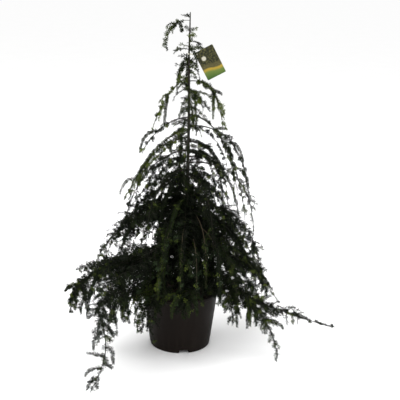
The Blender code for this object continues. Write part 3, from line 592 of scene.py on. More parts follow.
class HEMLOCK_PG_bark(bpy.types.PropertyGroup):
    relief: FloatProperty(name="Relief", description="Depth of the bark against the radius", default=0.16)
    ridge: colour_setting("Ridges", "Weathered ridges of the bark", (0.0230, 0.0190, 0.0145))
    furrow: colour_setting("Furrows", "Bottom of the furrows", (0.0065, 0.0052, 0.0039))
    algae: colour_setting("Algae", "Green bloom on the shaded side", (0.0170, 0.0210, 0.0085))


class HEMLOCK_PG_pot(bpy.types.PropertyGroup):
    plastic: colour_setting("Plastic", "Recycled plastic of the pot", (0.0052, 0.0031, 0.0021))
    dust: colour_setting("Dust", "Dried splashes on the wall", (0.0400, 0.0320, 0.0250))
    peat: colour_setting("Peat", "Dark part of the potting mix", (0.0120, 0.0085, 0.0060))
    chip: colour_setting("Chips", "Bark chips of the potting mix", (0.0600, 0.0360, 0.0200))
    chip_size: length_setting("Chip size", "Length of a bark chip", 0.0110)
    chip_spacing: length_setting("Chip spacing", "Least distance between two chips", 0.0052)


class HEMLOCK_PG_tag(bpy.types.PropertyGroup):
    shade: colour_setting("Shade", "Dark green field of the card", (0.0060, 0.0085, 0.0030))
    olive: colour_setting("Olive", "Hill on the card", (0.1050, 0.0960, 0.0330))
    yellow: colour_setting("Yellow", "Bright stripe of the card", (0.3000, 0.2100, 0.0250))
    lawn: colour_setting("Lawn", "Green end of the card", (0.0400, 0.0900, 0.0140))
    cream: colour_setting("Cream", "Disc on the card and its back", (0.4200, 0.4000, 0.3300))


class HEMLOCK_PG_stage(bpy.types.PropertyGroup):
    floor: colour_setting("Floor", "Pale floor", (0.9700, 0.9700, 0.9680))
    sky: FloatProperty(name="Sky", description="Strength of the white surroundings", default=1.00, min=0.0)
    lamp: FloatProperty(name="Lamp", description="Power of the lamps", default=150.0, unit="POWER", min=0.0)


# -------- shared tools

def finish_piece(item, slot, *nodes):
    """Attach a piece to the body and hide the nodes that it stands for; the slot is not used."""
    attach(item, BODY)
    if nodes:
        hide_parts(*nodes)
    item.data.calc_loop_triangles()
    if len(item.data.loop_triangles) > PIECE_LIMIT:
        raise RuntimeError("%s has %d triangles" % (item.name, len(item.data.loop_triangles)))


def new_object(name, data):
    """A linked object for a mesh, light or camera."""
    item = bpy.data.objects.new(name, data)
    bpy.context.scene.collection.objects.link(item)
    return item


def object_from_bmesh(name, shape, material=None, smooth=True):
    """Turn a bmesh into a linked object, with a material where it has one."""
    mesh = bpy.data.meshes.new(name)
    for face in shape.faces:
        face.smooth = smooth
    shape.to_mesh(mesh)
    shape.free()
    if material:
        mesh.materials.append(material)
    return new_object(name, mesh)


def held(value):
    """A number held between nought and one."""
    return min(1.0, max(0.0, value))


def apply_modifiers(item):
    """Replace the object's mesh by its evaluated one."""
    bpy.context.view_layer.update()
    graph = bpy.context.evaluated_depsgraph_get()
    mesh = bpy.data.meshes.new_from_object(item.evaluated_get(graph), depsgraph=graph)
    item.modifiers.clear()
    item.data = mesh
    mesh.name = item.name
    for index in reversed(range(len(mesh.materials))):
        if mesh.materials[index] is None:
            mesh.materials.pop(index=index)


def remove_helper(item):
    """Delete an object that only helped to make another."""
    bpy.data.objects.remove(item)


class NodeMaker:
    """A node tree that is written one node at a time."""

    def __init__(self, tree):
        self.tree = tree

    def feed(self, socket, value):
        """Link a socket to another, or set its value."""
        if isinstance(value, bpy.types.NodeSocket):
            self.tree.links.new(value, socket)
        else:
            socket.default_value = value

    def node(self, kind, feeds=None, **settings):
        """Add a node, with its settings and with values or links for its inputs."""
        node = self.tree.nodes.new(kind)
        for name, value in settings.items():
            setattr(node, name, value)
        for key, value in (feeds or {}).items():
            self.feed(node.inputs[key], value)
        return node

    def made(self, kind, feeds=None, **settings):
        """The first output of a new node."""
        return self.node(kind, feeds, **settings).outputs[0]

    def number(self, operation, *values):
        """Arithmetic on one to three numbers."""
        return self.made("ShaderNodeMath", dict(enumerate(values)), operation=operation)

    def times(self, first, second):
        """The product of two numbers."""
        return self.number("MULTIPLY", first, second)

    def vector(self, operation, *values):
        """Arithmetic on vectors, with a number as its result where the operation gives one."""
        node = self.node("ShaderNodeVectorMath", dict(enumerate(values)), operation=operation)
        return node.outputs[1 if operation in {"DOT_PRODUCT", "LENGTH", "DISTANCE"} else 0]

    def scaled(self, vector, factor):
        """A vector times a number."""
        return self.made("ShaderNodeVectorMath", {0: vector, 3: factor}, operation="SCALE")

    def parts(self, vector):
        """The three numbers of a vector."""
        return self.node("ShaderNodeSeparateXYZ", {0: vector}).outputs


class ShapeTree(NodeMaker):
    """A Geometry Nodes tree with named inputs."""

    def __init__(self, name, **kinds):
        super().__init__(bpy.data.node_groups.new(name, "GeometryNodeTree"))
        sockets = self.tree.interface
        sockets.new_socket("Geometry", in_out="INPUT", socket_type="NodeSocketGeometry")
        sockets.new_socket("Geometry", in_out="OUTPUT", socket_type="NodeSocketGeometry")
        for label, kind in kinds.items():
            sockets.new_socket(label, in_out="INPUT", socket_type="NodeSocket" + kind)
        self.entry = self.node("NodeGroupInput")

    def given(self, label):
        """A named input of the tree."""
        return self.entry.outputs[label]

    def stored(self, name, kind="FLOAT"):
        """A value that the mesh carries."""
        return self.made("GeometryNodeInputNamedAttribute", {"Name": name}, data_type=kind)

    def random(self, low, high, number):
        """A random number for each element, with its own fixed seed."""
        seed = self.number("ADD", self.given("Seed"), number)
        return self.node("FunctionNodeRandomValue", {2: low, 3: high, 8: seed}, data_type="FLOAT").outputs[1]

    def store(self, geometry, name, value, kind="FLOAT"):
        """Keep a value on the geometry's points."""
        feeds = {"Geometry": geometry, "Name": name, "Value": value}
        return self.made("GeometryNodeStoreNamedAttribute", feeds, data_type=kind)

    def close(self, geometry, materials, by=None):
        """Realize, give each face its material by a stored number, and end the tree."""
        shape = self.made("GeometryNodeRealizeInstances", {0: geometry})
        for index, material in enumerate(materials):
            feeds = {"Geometry": shape, "Material": material}
            if by is not None and index > 0:
                gap = self.number("ABSOLUTE", self.number("SUBTRACT", self.stored(by), float(index)))
                feeds["Selection"] = self.number("LESS_THAN", gap, 0.5)
            shape = self.made("GeometryNodeSetMaterial", feeds)
        self.node("NodeGroupOutput", {0: shape})

    def run(self, item, **values):
        """Apply the tree to an object, with its inputs set, as a plain mesh."""
        modifier = item.modifiers.new(self.tree.name, "NODES")
        modifier.node_group = self.tree
        found = {s.name: s.identifier for s in self.tree.interface.items_tree if s.in_out == "INPUT"}
        for label, value in values.items():
            modifier[found[label]] = value
        apply_modifiers(item)


class Finish(NodeMaker):
    """A material that is written one node at a time."""

    def __init__(self, name):
        self.material = bpy.data.materials.new(name)
        self.material.use_nodes = True
        super().__init__(self.material.node_tree)
        self.shader = self.tree.nodes["Principled BSDF"]
        self.shader.inputs["Metallic"].default_value = 0.0

    def place(self):
        """Object coordinates."""
        return self.node("ShaderNodeTexCoord").outputs["Object"]

    def mapped(self, vector, scale, turn=(0.0, 0.0, 0.0)):
        """Coordinates stretched and turned by a Mapping node."""
        return self.made("ShaderNodeMapping", {"Vector": vector, "Scale": scale, "Rotation": turn})

    def noise(self, vector, scale, detail=4.0, rough=0.55):
        """A soft random pattern."""
        feeds = {"Vector": vector, "Scale": scale, "Detail": detail, "Roughness": rough}
        return self.made("ShaderNodeTexNoise", feeds)

    def ramp(self, value, *stops):
        """Colours or greys by value: pairs of place and colour."""
        node = self.node("ShaderNodeValToRGB", {0: value})
        band = node.color_ramp
        while len(band.elements) < len(stops):
            band.elements.new(0.5)
        for element, (place, colour) in zip(band.elements, stops):
            element.position = place
            grey = isinstance(colour, float)
            element.color = (colour, colour, colour, 1.0) if grey else (*colour, 1.0)
        return node.outputs[0]

    def mix(self, share, first, second):
        """Blend two colours by a share."""
        node = self.node("ShaderNodeMix", {0: share}, data_type="RGBA")
        for index, value in ((6, first), (7, second)):
            linked = isinstance(value, bpy.types.NodeSocket)
            self.feed(node.inputs[index], value if linked else (*value, 1.0))
        return node.outputs[2]

    def bump(self, height, distance, strength=1.0, normal=None):
        """Relief from a height."""
        feeds = {"Height": height, "Distance": distance, "Strength": strength}
        if normal is not None:
            feeds["Normal"] = normal
        return self.made("ShaderNodeBump", feeds)

    def surface(self, colour, rough, gloss=0.5, relief=None):
        """Set or link the shader's inputs."""
        given = {"Base Color": colour, "Roughness": rough, "Specular IOR Level": gloss, "Normal": relief}
        for key, value in given.items():
            if value is not None:
                self.feed(self.shader.inputs[key], value)
        return self.material


# -------- front view

def view_matrix():
    """Place and turn of the camera."""
    tilt = Matrix.Rotation(math.radians(90.0 - VIEW_TILT), 4, "X")
    return Matrix.Translation(VIEW_PLACE) @ tilt @ Matrix.Rotation(math.radians(VIEW_ROLL), 4, "Z")


def seen_point(across, down, depth):
    """The point at a depth that is seen at a spot of the view."""
    spot = Vector((across - VIEW_FRAME / 2, VIEW_FRAME / 2 - down, -VIEW_FOCAL))
    ray = view_matrix().to_3x3() @ spot
    return VIEW_PLACE + ray * ((depth - VIEW_PLACE.y) / ray.y)


# -------- limbs, as in the solids

def trunk_centre(height):
    """Centre and radius of the trunk at a height over the ground."""
    above = height - SOIL_TOP - TOUCH_GAP
    for low, high in itertools.pairwise(TRUNK_RINGS):
        if above <= high[0]:
            share = max(0.0, (above - low[0]) / (high[0] - low[0]))
            radius, across, sway = (a + (b - a) * share for a, b in zip(low[1:], high[1:]))
            return Vector((across, sway, height)), radius
    top = TRUNK_RINGS[-1]
    return Vector((top[2], top[3], height)), top[1]


class Limb:
    """One arching line from the trunk, with its bough and its foliage stem."""

    def __init__(self, row):
        self.name, self.height, angle, self.reach, self.tip, *shape = row
        self.spread, self.lift, self.bare, self.full = shape
        self.angle = math.radians(angle)
        self.away = Vector((math.cos(self.angle), math.sin(self.angle), 0.0))
        self.aside = Vector((-math.sin(self.angle), math.cos(self.angle), 0.0))
        self.root, self.trunk_radius = trunk_centre(self.height)
        self.samples = [self.point(step / LIMB_SAMPLES) for step in range(LIMB_SAMPLES + 1)]
        steps = itertools.pairwise(self.samples)
        self.length = sum((after - before).length for before, after in steps)
        thickest = BOUGH_SHARE_OF_TRUNK * self.trunk_radius
        self.thick = min(BOUGH_BASE + BOUGH_THICKEN * self.length, thickest)
        high = (self.height - LOW_LIMB) / (HIGH_LIMB - LOW_LIMB)
        self.size = 1.0 + (HIGH_SIZE - 1.0) * held(high)
        self.spray_start = max(self.bare, (self.trunk_radius + SPRAY_START) / self.length)
        self.dense = CORE_LOWEST < self.height < CORE_HIGHEST
        self.stem_shares = self.shares(self.bare, 1.0, STEM_STEP * (STEM_STEP_BASE + self.size))
        self.fresh = FRESH_LIMBS.get(self.name, 0.0)

    def sized(self, floor):
        """The limb's size, raised so that a limb of no size would still have the floor."""
        return floor + (1.0 - floor) * self.size

    def fullness(self, share):
        """How full the foliage is at a share of the run: thin on the open ends."""
        open_end = held((share - SPARSE_FROM[0]) / (SPARSE_FROM[1] - SPARSE_FROM[0]))
        return self.full * (1.0 - (1.0 - SPARSE_ENDS.get(self.name, 1.0)) * open_end)

    def needle_gap(self, share):
        """Spacing of the needles at a share of the run, against the usual one."""
        if self.height > ROPE_LIMBS:
            return ROPE_GAP
        sparse = self.name in SPARSE_ENDS and share > SPARSE_FROM[1]
        return SPARSE_GAP if sparse else 1.0

    def point(self, share):
        """A point at a share of the limb's run."""
        out = self.reach * (1.0 - (1.0 - share) ** self.spread)
        drop = self.height + self.lift - self.tip
        rise = self.lift * share - drop * share ** FALL_POWER
        bent_from, bend = BENDS.get(self.name, (0.0, 0.0))
        late = max(0.0, share - bent_from) / (1.0 - bent_from)
        sideways = bend * math.sin(math.pi * late ** BEND_POWER)
        return self.root + self.away * out + self.aside * sideways + Vector((0.0, 0.0, rise))

    def heading(self, share):
        """Unit direction of the limb at a share of its run."""
        step = 0.5 / LIMB_SAMPLES
        before = self.point(max(0.0, share - step))
        after = self.point(min(1.0, share + step))
        return (after - before).normalized()

    def radius(self, share):
        """Radius of the limb at a share of its run."""
        return LIMB_TIP + (self.thick - LIMB_TIP) * (1.0 - share) ** LIMB_TAPER

    def stem_point(self, share):
        """A point on the straight stretches that make up the mass's stem."""
        for before, after in itertools.pairwise(self.stem_shares):
            if share <= after:
                part = (share - before) / (after - before)
                return self.point(before).lerp(self.point(after), part)
        return self.point(self.stem_shares[-1])

    def shares(self, start, end, spacing):
        """Evenly spread shares between two, no further apart than a spacing."""
        count = max(2, round((end - start) * self.length / spacing))
        return [start + (end - start) * step / count for step in range(count + 1)]


def side_frame(forward, aside):
    """Two directions square to a forward one: the sideways one nearest to a given one, and upward."""
    side = (aside - forward * aside.dot(forward)).normalized()
    return side, forward.cross(side)


def rolled(aside, axis, widest, rule):
    """A direction turned at random about an axis."""
    return Matrix.Rotation(rule.uniform(-widest, widest), 3, axis) @ aside


def falling_line(start, heading, length, droop, count):
    """Points of a line that bends down towards its tip."""
    points = [start.copy()]
    direction = heading.copy()
    for step in range(count):
        points.append(points[-1] + direction * (length / count))
        direction = (direction + Vector((0.0, 0.0, -droop / count))).normalized()
    return points


class Spray:
    """A side spray of a mass: its line and the tips of its teeth."""

    def __init__(self, start, heading, aside, length, size):
        self.start, self.heading, self.length, self.size, self.aside = start, heading, length, size, aside
        count = max(2, round(length / (SPRAY_STEP * size)))
        self.points = falling_line(start, heading, length, SPRAY_DROOP, count)

    def teeth(self):
        """Tips of the teeth, a pair for each step but the one at the root."""
        tips = []
        steps = list(itertools.pairwise(self.points))
        for index, (before, after) in enumerate(steps[1:]):
            forward = (after - before).normalized()
            side, up = side_frame(forward, self.aside)
            reach = TOOTH_LENGTH * self.size * (1.0 - TIP_SHRINK * index / len(steps))
            middle = (before + after) * 0.5 + forward * TOOTH_FORWARD * self.size + up * reach * TOOTH_RISE
            tips.append((middle + side * reach, middle - side * reach))
        return tips


class Space:
    """The room that belongs to one limb."""

    def __init__(self, limb, limbs):
        self.own = self.lookup(limb.samples)
        self.rest = self.lookup([point for other in limbs if other is not limb for point in other.samples])

    @staticmethod
    def lookup(points):
        """A search tree of points."""
        tree = KDTree(len(points))
        for index, point in enumerate(points):
            tree.insert(point, index)
        tree.balance()
        return tree

    def holds(self, point):
        """Whether the point is nearer to this limb than to others, and clear of what is not foliage."""
        own = self.own.find(point)[2]
        other = self.rest.find(point)[2]
        if other < own + OWN_MARGIN or other < LIMB_CLEAR:
            return False
        return clear_of_trunk(point) and clear_of_pot(point) and clear_of_tag(point)


def clear_of_trunk(point):
    """Whether a point is outside the trunk."""
    centre, radius = trunk_centre(point.z)
    return math.hypot(point.x - centre.x, point.y - centre.y) >= radius + TRUNK_CLEAR


def clear_of_pot(point):
    """Whether a point is over the soil, outside the pot and off the floor."""
    if point.z < LOWEST_NEEDLE:
        return False
    if point.z > POT_HEIGHT + RIM_OVER:
        return True
    out = math.hypot(point.x, point.y)
    if out > POT_RIM_RADIUS + RIM_OUTSIDE:
        return True
    return out < POT_RIM_RADIUS - RIM_INSIDE and point.z > SOIL_TOP + SOIL_CLEAR


def tag_axes():
    """The card's long, cross and facing directions."""
    down = Vector((math.sin(TAG_TILT), 0.0, -math.cos(TAG_TILT)))
    facing = Vector((0.0, -1.0, 0.0))
    return down, down.cross(facing), facing


def clear_of_tag(point):
    """Whether a point stays off the card and its strap."""
    down, across, facing = tag_axes()
    offset = point - TAG_TOP_CENTRE
    along = offset.dot(down)
    beside = abs(offset.dot(across))
    away = abs(offset.dot(facing))
    inside_length = -TAG_CLEAR < along < TAG_LENGTH + TAG_CLEAR
    if inside_length and beside < TAG_WIDTH / 2 + TAG_CLEAR and away < TAG_CLEAR:
        return False
    left, right, depth, height = STRAP_BOX
    beside_trunk = point.x - trunk_centre(point.z)[0].x
    near_strap = abs(point.z - STRAP_HEIGHT) < height and abs(point.y) < depth
    return not (near_strap and left < beside_trunk < right)


def spray_fits(space, spray):
    """Whether a spray's core and teeth all lie in its space."""
    edge_points = spray.points[1:]
    for pair, base in zip(spray.teeth(), spray.points[1:]):
        for tip in pair:
            edge_points += [tip, (tip + base) / 2]
    return all(space.holds(point) for point in edge_points)


def grow_sprays(limb, space, rule):
    """The side sprays on a stem, in turn to both sides, each with its share of the limb."""
    run = SPRAY_END - limb.spray_start
    count = max(1, round(run * limb.length / (SPRAY_SPACING * limb.sized(SIZE_FLOOR))))
    for index in range(count):
        share = limb.spray_start + run * (index + rule.uniform(*JITTER)) / count
        forward = limb.heading(share)
        side, up = side_frame(forward, limb.aside)
        turn = (1 if index % 2 else -1) * rule.uniform(*SPRAY_TURNS)
        out = side * math.sin(turn) + up * math.cos(turn) * rule.choice(SPRAY_UNDER_OVER)
        angle = rule.uniform(*SPRAY_ANGLES)
        heading = (forward * math.cos(angle) + out * math.sin(angle)).normalized()
        length = min(SPRAY_LONG, SPRAY_SHORT + limb.length * SPRAY_PER_LIMB) * rule.uniform(*SPRAY_LENGTHS)
        length *= (1.0 - TIP_SHRINK * share) * limb.fullness(share)
        aside = rolled(heading.cross(forward).normalized(), heading, SPRAY_ROLL, rule)
        for shrink in SPRAY_SIZES:
            spray = Spray(limb.stem_point(share), heading, aside, length * shrink, limb.size)
            if spray_fits(space, spray):
                yield share, spray
                break


def tooth_tip(space, middle, direction, reach):
    """Tip of a tooth or shoot, shortened to fit its space, or None."""
    for shrink in SHOOT_SIZES:
        tip = middle + direction * reach * shrink
        if all(space.holds(middle + (tip - middle) * share) for share in (0.3, 0.6, 1.0)):
            return tip
    return None


def shoot_tips(limb, space, middle, share, rule, fans):
    """Tips of the teeth or shoots that one stretch of a stem carries."""
    forward = limb.heading(share)
    side, up = side_frame(forward, limb.aside)
    core = limb.dense and share < CORE_END
    for fan in fans:
        spoke = math.radians(fan + rule.uniform(-SHOOT_TURN, SHOOT_TURN))
        out = side * math.cos(spoke) + up * math.sin(spoke)
        lean = (out + forward * SHOOT_FORWARD + Vector((0.0, 0.0, -SHOOT_DROOP))).normalized()
        reach = TOOTH_LENGTH * STEM_TOOTH * limb.size * (1.0 - TIP_SHRINK * share)
        if core:
            reach = SHOOT_LONG * limb.size * (1.0 - SHOOT_TAPER * share / CORE_END)
        elif fan == LOWER_FAN:
            continue
        tip = tooth_tip(space, middle, lean, reach * rule.uniform(*SHOOT_LENGTHS))
        if tip is not None:
            yield tip


def stem_shoots(limb, space, rule, finer):
    """Share, root and tip of each shoot on the stem, and of the ones that fill in between them."""
    shares = list(limb.stem_shares)
    points = [limb.point(share) for share in shares]
    if limb.bare > 0.0:
        points.insert(1, limb.point(limb.bare) + limb.heading(limb.bare) * JOINT_NECK)
        shares.insert(1, shares[0])
    found = []
    for index in range(1, len(points) - 1):
        share = shares[index]
        if share < limb.spray_start:
            continue
        middle = (points[index] + points[index + 1]) / 2
        found += [(share, middle, tip) for tip in shoot_tips(limb, space, middle, share, rule, SHOOT_FANS)]
        if limb.dense and share < CORE_END:
            root = points[index]
            found += [(share, root, tip) for tip in shoot_tips(limb, space, root, share, finer, FILL_FANS)]
    return found


# -------- twigs

class Twig:
    """A woody line, with what the rows of needles along it need to know."""

    def __init__(self, points, aside, thick, tint, size, gap=1.0, wood=0, needled_from=0.0):
        self.points, self.aside, self.thick, self.tint = points, aside, thick, tint
        self.size, self.gap, self.wood, self.needled_from = size, gap, wood, needled_from
        steps = [(after - before).length for before, after in itertools.pairwise(points)]
        self.length = sum(steps)
        self.marks = [0.0]
        for step in steps:
            self.marks.append(self.marks[-1] + step)

    def place(self, share):
        """Point and direction at a share of the length."""
        wanted = share * self.length
        for before, after, low, high in zip(self.points, self.points[1:], self.marks, self.marks[1:]):
            if wanted <= high:
                return before.lerp(after, (wanted - low) / (high - low)), (after - before).normalized()
        return self.points[-1], (self.points[-1] - self.points[-2]).normalized()

    def clear(self):
        """Whether the whole twig stays outside the pot, tag and floor."""
        return all(clear_of_pot(point) and clear_of_tag(point) for point in self.points[1:])


def deal_tint(limb, share, rule):
    """Tint of a twig: old and dark inside the crown, light and fresh towards the ends of its strands."""
    value = TINT_ROOT + TINT_ALONG * share
    for lighter, start, stretch in (TINT_HIGH, TINT_TOP):
        value += lighter * held((limb.height - start) / stretch)
    value += limb.fresh * min(1.0, TINT_FRESH_SOON * share)
    value += rule.gauss(0.0, TINT_SCATTER)
    return min(len(TINTS) - 1, max(0, int(value * len(TINTS))))


def side_twigs(twig, rule, spacing, longest, tints, start=SIDE_FIRST, spread=0.0, gap=None):
    """Short twigs in turn to both sides of another, in its plane, or in tufts all round it."""
    count = int(twig.length * (1.0 - start) / spacing)
    for index in range(count):
        share = start + (1.0 - start) * (index + rule.uniform(*JITTER)) / count
        if gap and rule.random() < TUFT_SKIP:
            continue
        root, forward = twig.place(share)
        side, up = side_frame(forward, twig.aside)
        tilt = rule.uniform(-SIDE_TILT, SIDE_TILT) + spread * rule.uniform(-1.0, 1.0)
        sign = 1.0 if index % 2 else -1.0
        out = side * math.cos(tilt) * sign + up * math.sin(tilt)
        angle = rule.uniform(*SIDE_ANGLES)
        heading = (forward * math.cos(angle) + out * math.sin(angle)).normalized()
        length = longest * (1.0 - SIDE_TAPER * share) * rule.uniform(*SIDE_LENGTHS)
        tint = min(len(TINTS) - 1, max(0, twig.tint + rule.choice(tints)))
        in_middle = root.z < COOL_BELOW and abs(root.x) < COOL_BESIDE
        if tint >= COOL_FROM and index % 2 and in_middle:
            tint = COOL
        if length < SHORTEST_SIDE:
            continue
        points = falling_line(root, heading, length, TWIG_DROOP, SIDE_STEPS)
        aside = forward.cross(heading).cross(heading)
        yield Twig(points, aside, SIDE_THICK, tint, twig.size, gap or twig.gap, twig.wood)


def shoot_line(root, tip):
    """A shoot that leaves its stem as it must and hangs to its tip."""
    length = (tip - root).length
    count = max(2, math.ceil(length / LINE_STEP))
    raised = Vector((0.0, 0.0, SHOOT_SAG * length))
    shares = [step / count for step in range(count + 1)]
    return [root.lerp(tip, share) + raised * (4.0 * share * (1.0 - share)) for share in shares]


def limb_line(limb, start):
    """The limb's own line from a share of its run to its tip."""
    return [limb.point(share) for share in limb.shares(start, 1.0, LINE_STEP)]


def any_aside(heading, rule):
    """A random direction square to a heading."""
    return rolled(heading.orthogonal().normalized(), heading, math.pi, rule)


def fitted_twig(root, heading, length, droop, aside, tint, size, gap=1.0):
    """A drooping twig, shortened until it is clear of the trunk, pot, tag and floor, or None."""
    for shrink in HANG_SIZES:
        reach = length * shrink
        points = falling_line(root, heading, reach, droop, max(2, math.ceil(reach / LINE_STEP)))
        twig = Twig(points, aside, SPRAY_THICK, tint, size, gap)
        if twig.clear() and all(clear_of_trunk(point) for point in points[2:]):
            return twig
    return None


def hanging_sprays(limb, rule):
    """Sprays that hang from a limb of the dense crown, from close to the trunk on."""
    if limb.height > HANG_BELOW:
        return []
    found = []
    count = round(limb.length / HANG_SPACING * DENSE_LIMBS.get(limb.name, 1.0))
    for index in range(count):
        share = HANG_FIRST + (HANG_LAST - HANG_FIRST) * (index + rule.uniform(*HANG_JITTER)) / count
        forward = limb.heading(share)
        side, up = side_frame(forward, limb.aside)
        turn = rule.uniform(-math.pi, math.pi)
        out = side * math.cos(turn) + up * (HANG_FLAT * math.sin(turn))
        heading = (forward * HANG_FORWARD + out).normalized()
        outward = heading.dot(limb.away)
        if outward > 0.0 and share > HANG_INWARD_FROM:
            heading = (heading - limb.away * outward * HANG_INWARD).normalized()
        length = rule.uniform(*HANG_LENGTHS) * limb.fullness(share) * (1.0 - HANG_SHORTEN * share)
        kept = (HANG_KEPT - HANG_KEPT_FALL * share) * limb.fullness(share) / limb.full
        if rule.random() > kept or length < SHORTEST_SPRAY:
            continue
        aside = any_aside(heading, rule)
        tint, gap = deal_tint(limb, share, rule), limb.needle_gap(share)
        twig = fitted_twig(limb.point(share), heading, length, HANG_DROOP, aside, tint, limb.size, gap)
        if twig is not None:
            found.append(twig)
    return found


def strand_root(host, limb, place):
    """Where a strand leaves the trunk at a height, or its limb at a share of the run."""
    return trunk_centre(place)[0] if host == "trunk" else limb.point(place)


def strand_run(root, tip, lift):
    """Compass angle, reach and drop of a strand from its root to its tip."""
    run = tip - root
    angle = round(math.degrees(math.atan2(run.y, run.x)) % 360.0)
    return angle, round(math.hypot(run.x, run.y), LENGTH_DIGITS), round(lift - run.z, LENGTH_DIGITS)


def side_strands(limb, limbs, rule):
    """The single strands that leave a limb, or the trunk closest to its root."""
    found = []
    for host, spot, across, down, depth, spread, lift, tint, full in SIDE_STRANDS:
        place = round(spot, PLACE_DIGITS)
        nearest = min(limbs, key=lambda other: abs(other.height - place))
        if host != limb.name and (host != "trunk" or nearest is not limb):
            continue
        tip = seen_point(across, down, depth)
        angle, reach, drop = strand_run(strand_root(host, limb, spot), tip, lift)
        root = strand_root(host, limb, place)
        line = Limb(("strand", root.z, angle, reach, root.z - drop + lift, spread, lift, 0.0, full))
        points = [point - line.root + root for point in limb_line(line, 0.0)]
        run = (points[-1] - points[0]).normalized()
        aside = run.cross(FACE) if full < 1.0 else rolled(line.aside, run, STRAND_ROLL, rule)
        gap = ROPE_GAP if full == 1.0 else FEATHER_GAP
        wood, leafy_from = (0, 0.0) if full else (1, BARE_STRAND)
        twig = Twig(points, aside.normalized(), STRAND_THICK, tint, limb.size, gap, wood, leafy_from)
        if twig.clear():
            found.append((twig, full))
    return found


def strands(limb, span, rule):
    """Long arching twigs from the stretch of trunk below a limb's root, round and round it."""
    found = []
    for index in range(math.ceil(span[0] / STRAND_STEP), math.ceil(span[1] / STRAND_STEP)):
        height = index * STRAND_STEP
        high = (height - STRANDS[0]) / (STRANDS[1] - STRANDS[0])
        in_front = math.sin(math.radians(index * STRAND_TURN)) < -STRAND_CLEAR_FRONT
        if not 0.0 < high < 1.0 or height > STRAND_HIGH and (in_front or index % STRAND_HIGH_EVERY != 1):
            continue
        widest = STRAND_REACHES[0] + (STRAND_REACHES[1] - STRAND_REACHES[0]) * high
        reach = widest * rule.uniform(*STRAND_SHARES)
        tip = height - rule.uniform(*STRAND_DROPS)
        shape = (rule.uniform(*STRAND_SPREADS), rule.uniform(*STRAND_LIFTS))
        line = Limb(("strand", height, index * STRAND_TURN, reach, tip, *shape, 0.0, 1.0))
        tint = deal_tint(limb, STRAND_FRONT_SHARE if in_front else reach / widest, rule)
        tint = min(TINTS.index("dark"), tint) if in_front else tint
        points = limb_line(line, 0.0)
        aside = rolled(line.aside, (points[-1] - points[0]).normalized(), STRAND_ROLL, rule)
        twig = Twig(points, aside, STRAND_THICK, tint, limb.size, ROPE_GAP)
        if twig.clear():
            found.append(twig)
    return found


def trunk_twigs(limb, span, rule):
    """Twigs on the trunk below a limb's root: short ones high up, long drooping ones in the crown."""
    found = []
    low, high = span
    height = low
    while height < high:
        centre, radius = trunk_centre(height)
        turn = rule.uniform(0.0, math.tau)
        out = Vector((math.cos(turn), math.sin(turn), rule.uniform(*TRUNK_TWIG_RISES))).normalized()
        aside = any_aside(out, rule)
        dense = held((TRUNK_DENSE[1] - height) / (TRUNK_DENSE[1] - TRUNK_DENSE[0]))
        height += TRUNK_TWIG_STEP * (TRUNK_STEP_HIGH - TRUNK_STEP_LESS * dense)
        if TRUNK_BARE[0] < height < TRUNK_BARE[1] and math.sin(turn) < TRUNK_BARE_BACK:
            continue
        short, longer = rule.uniform(*TRUNK_TWIG_SHORT), rule.uniform(*TRUNK_TWIG_LONG)
        length = short + (longer - short) * dense
        tint = deal_tint(limb, rule.uniform(*TRUNK_TWIG_TINTS) * (1.0 - dense), rule)
        twig = fitted_twig(centre, out, length + radius, TWIG_DROOP + dense, aside, tint, limb.size)
        if twig is not None:
            found.append(twig)
    return found


def stem_twig(limb, rule):
    """The limb's own line, as the twig that carries all others."""
    tint = deal_tint(limb, STEM_TINT_SHARE, rule)
    gap = STEM_GAPS.get(limb.name, limb.needle_gap(STEM_GAP_SHARE))
    leafy_from = max(STEM_BARE, limb.bare)
    stem = Twig(limb_line(limb, limb.bare), limb.aside, None, tint, limb.size, gap, needled_from=leafy_from)
    stem.limb = limb
    return stem


def limb_twig(limb, share, points, aside, rule):
    """A twig straight on a limb."""
    tint, gap = deal_tint(limb, share, rule), limb.needle_gap(share)
    return Twig(points, aside, SPRAY_THICK, tint, limb.size, gap)


def spray_branches(limb, sprays, rule):
    """The limb's side sprays, fewer on an open end."""
    for share, spray in sprays:
        if limb.name in SPARSE_ENDS and rule.random() > limb.fullness(share):
            continue
        count = max(3, math.ceil(spray.length / LINE_STEP))
        points = falling_line(limb.point(share), spray.heading, spray.length, SPRAY_DROOP, count)
        yield limb_twig(limb, share, points, spray.aside, rule)


def shoot_branches(limb, shoots, rule):
    """The limb's shoots, fewer in the open upper crown."""
    for share, root, tip in shoots:
        if limb.height > OPEN_LIMBS and rule.random() > OPEN_SHOOTS:
            continue
        aside = (tip - root).cross(Vector((0.0, 0.0, 1.0))).normalized()
        aside = rolled(aside, (tip - root).normalized(), SHOOT_ROLL, rule)
        yield limb_twig(limb, share, shoot_line(root, tip), aside, rule)


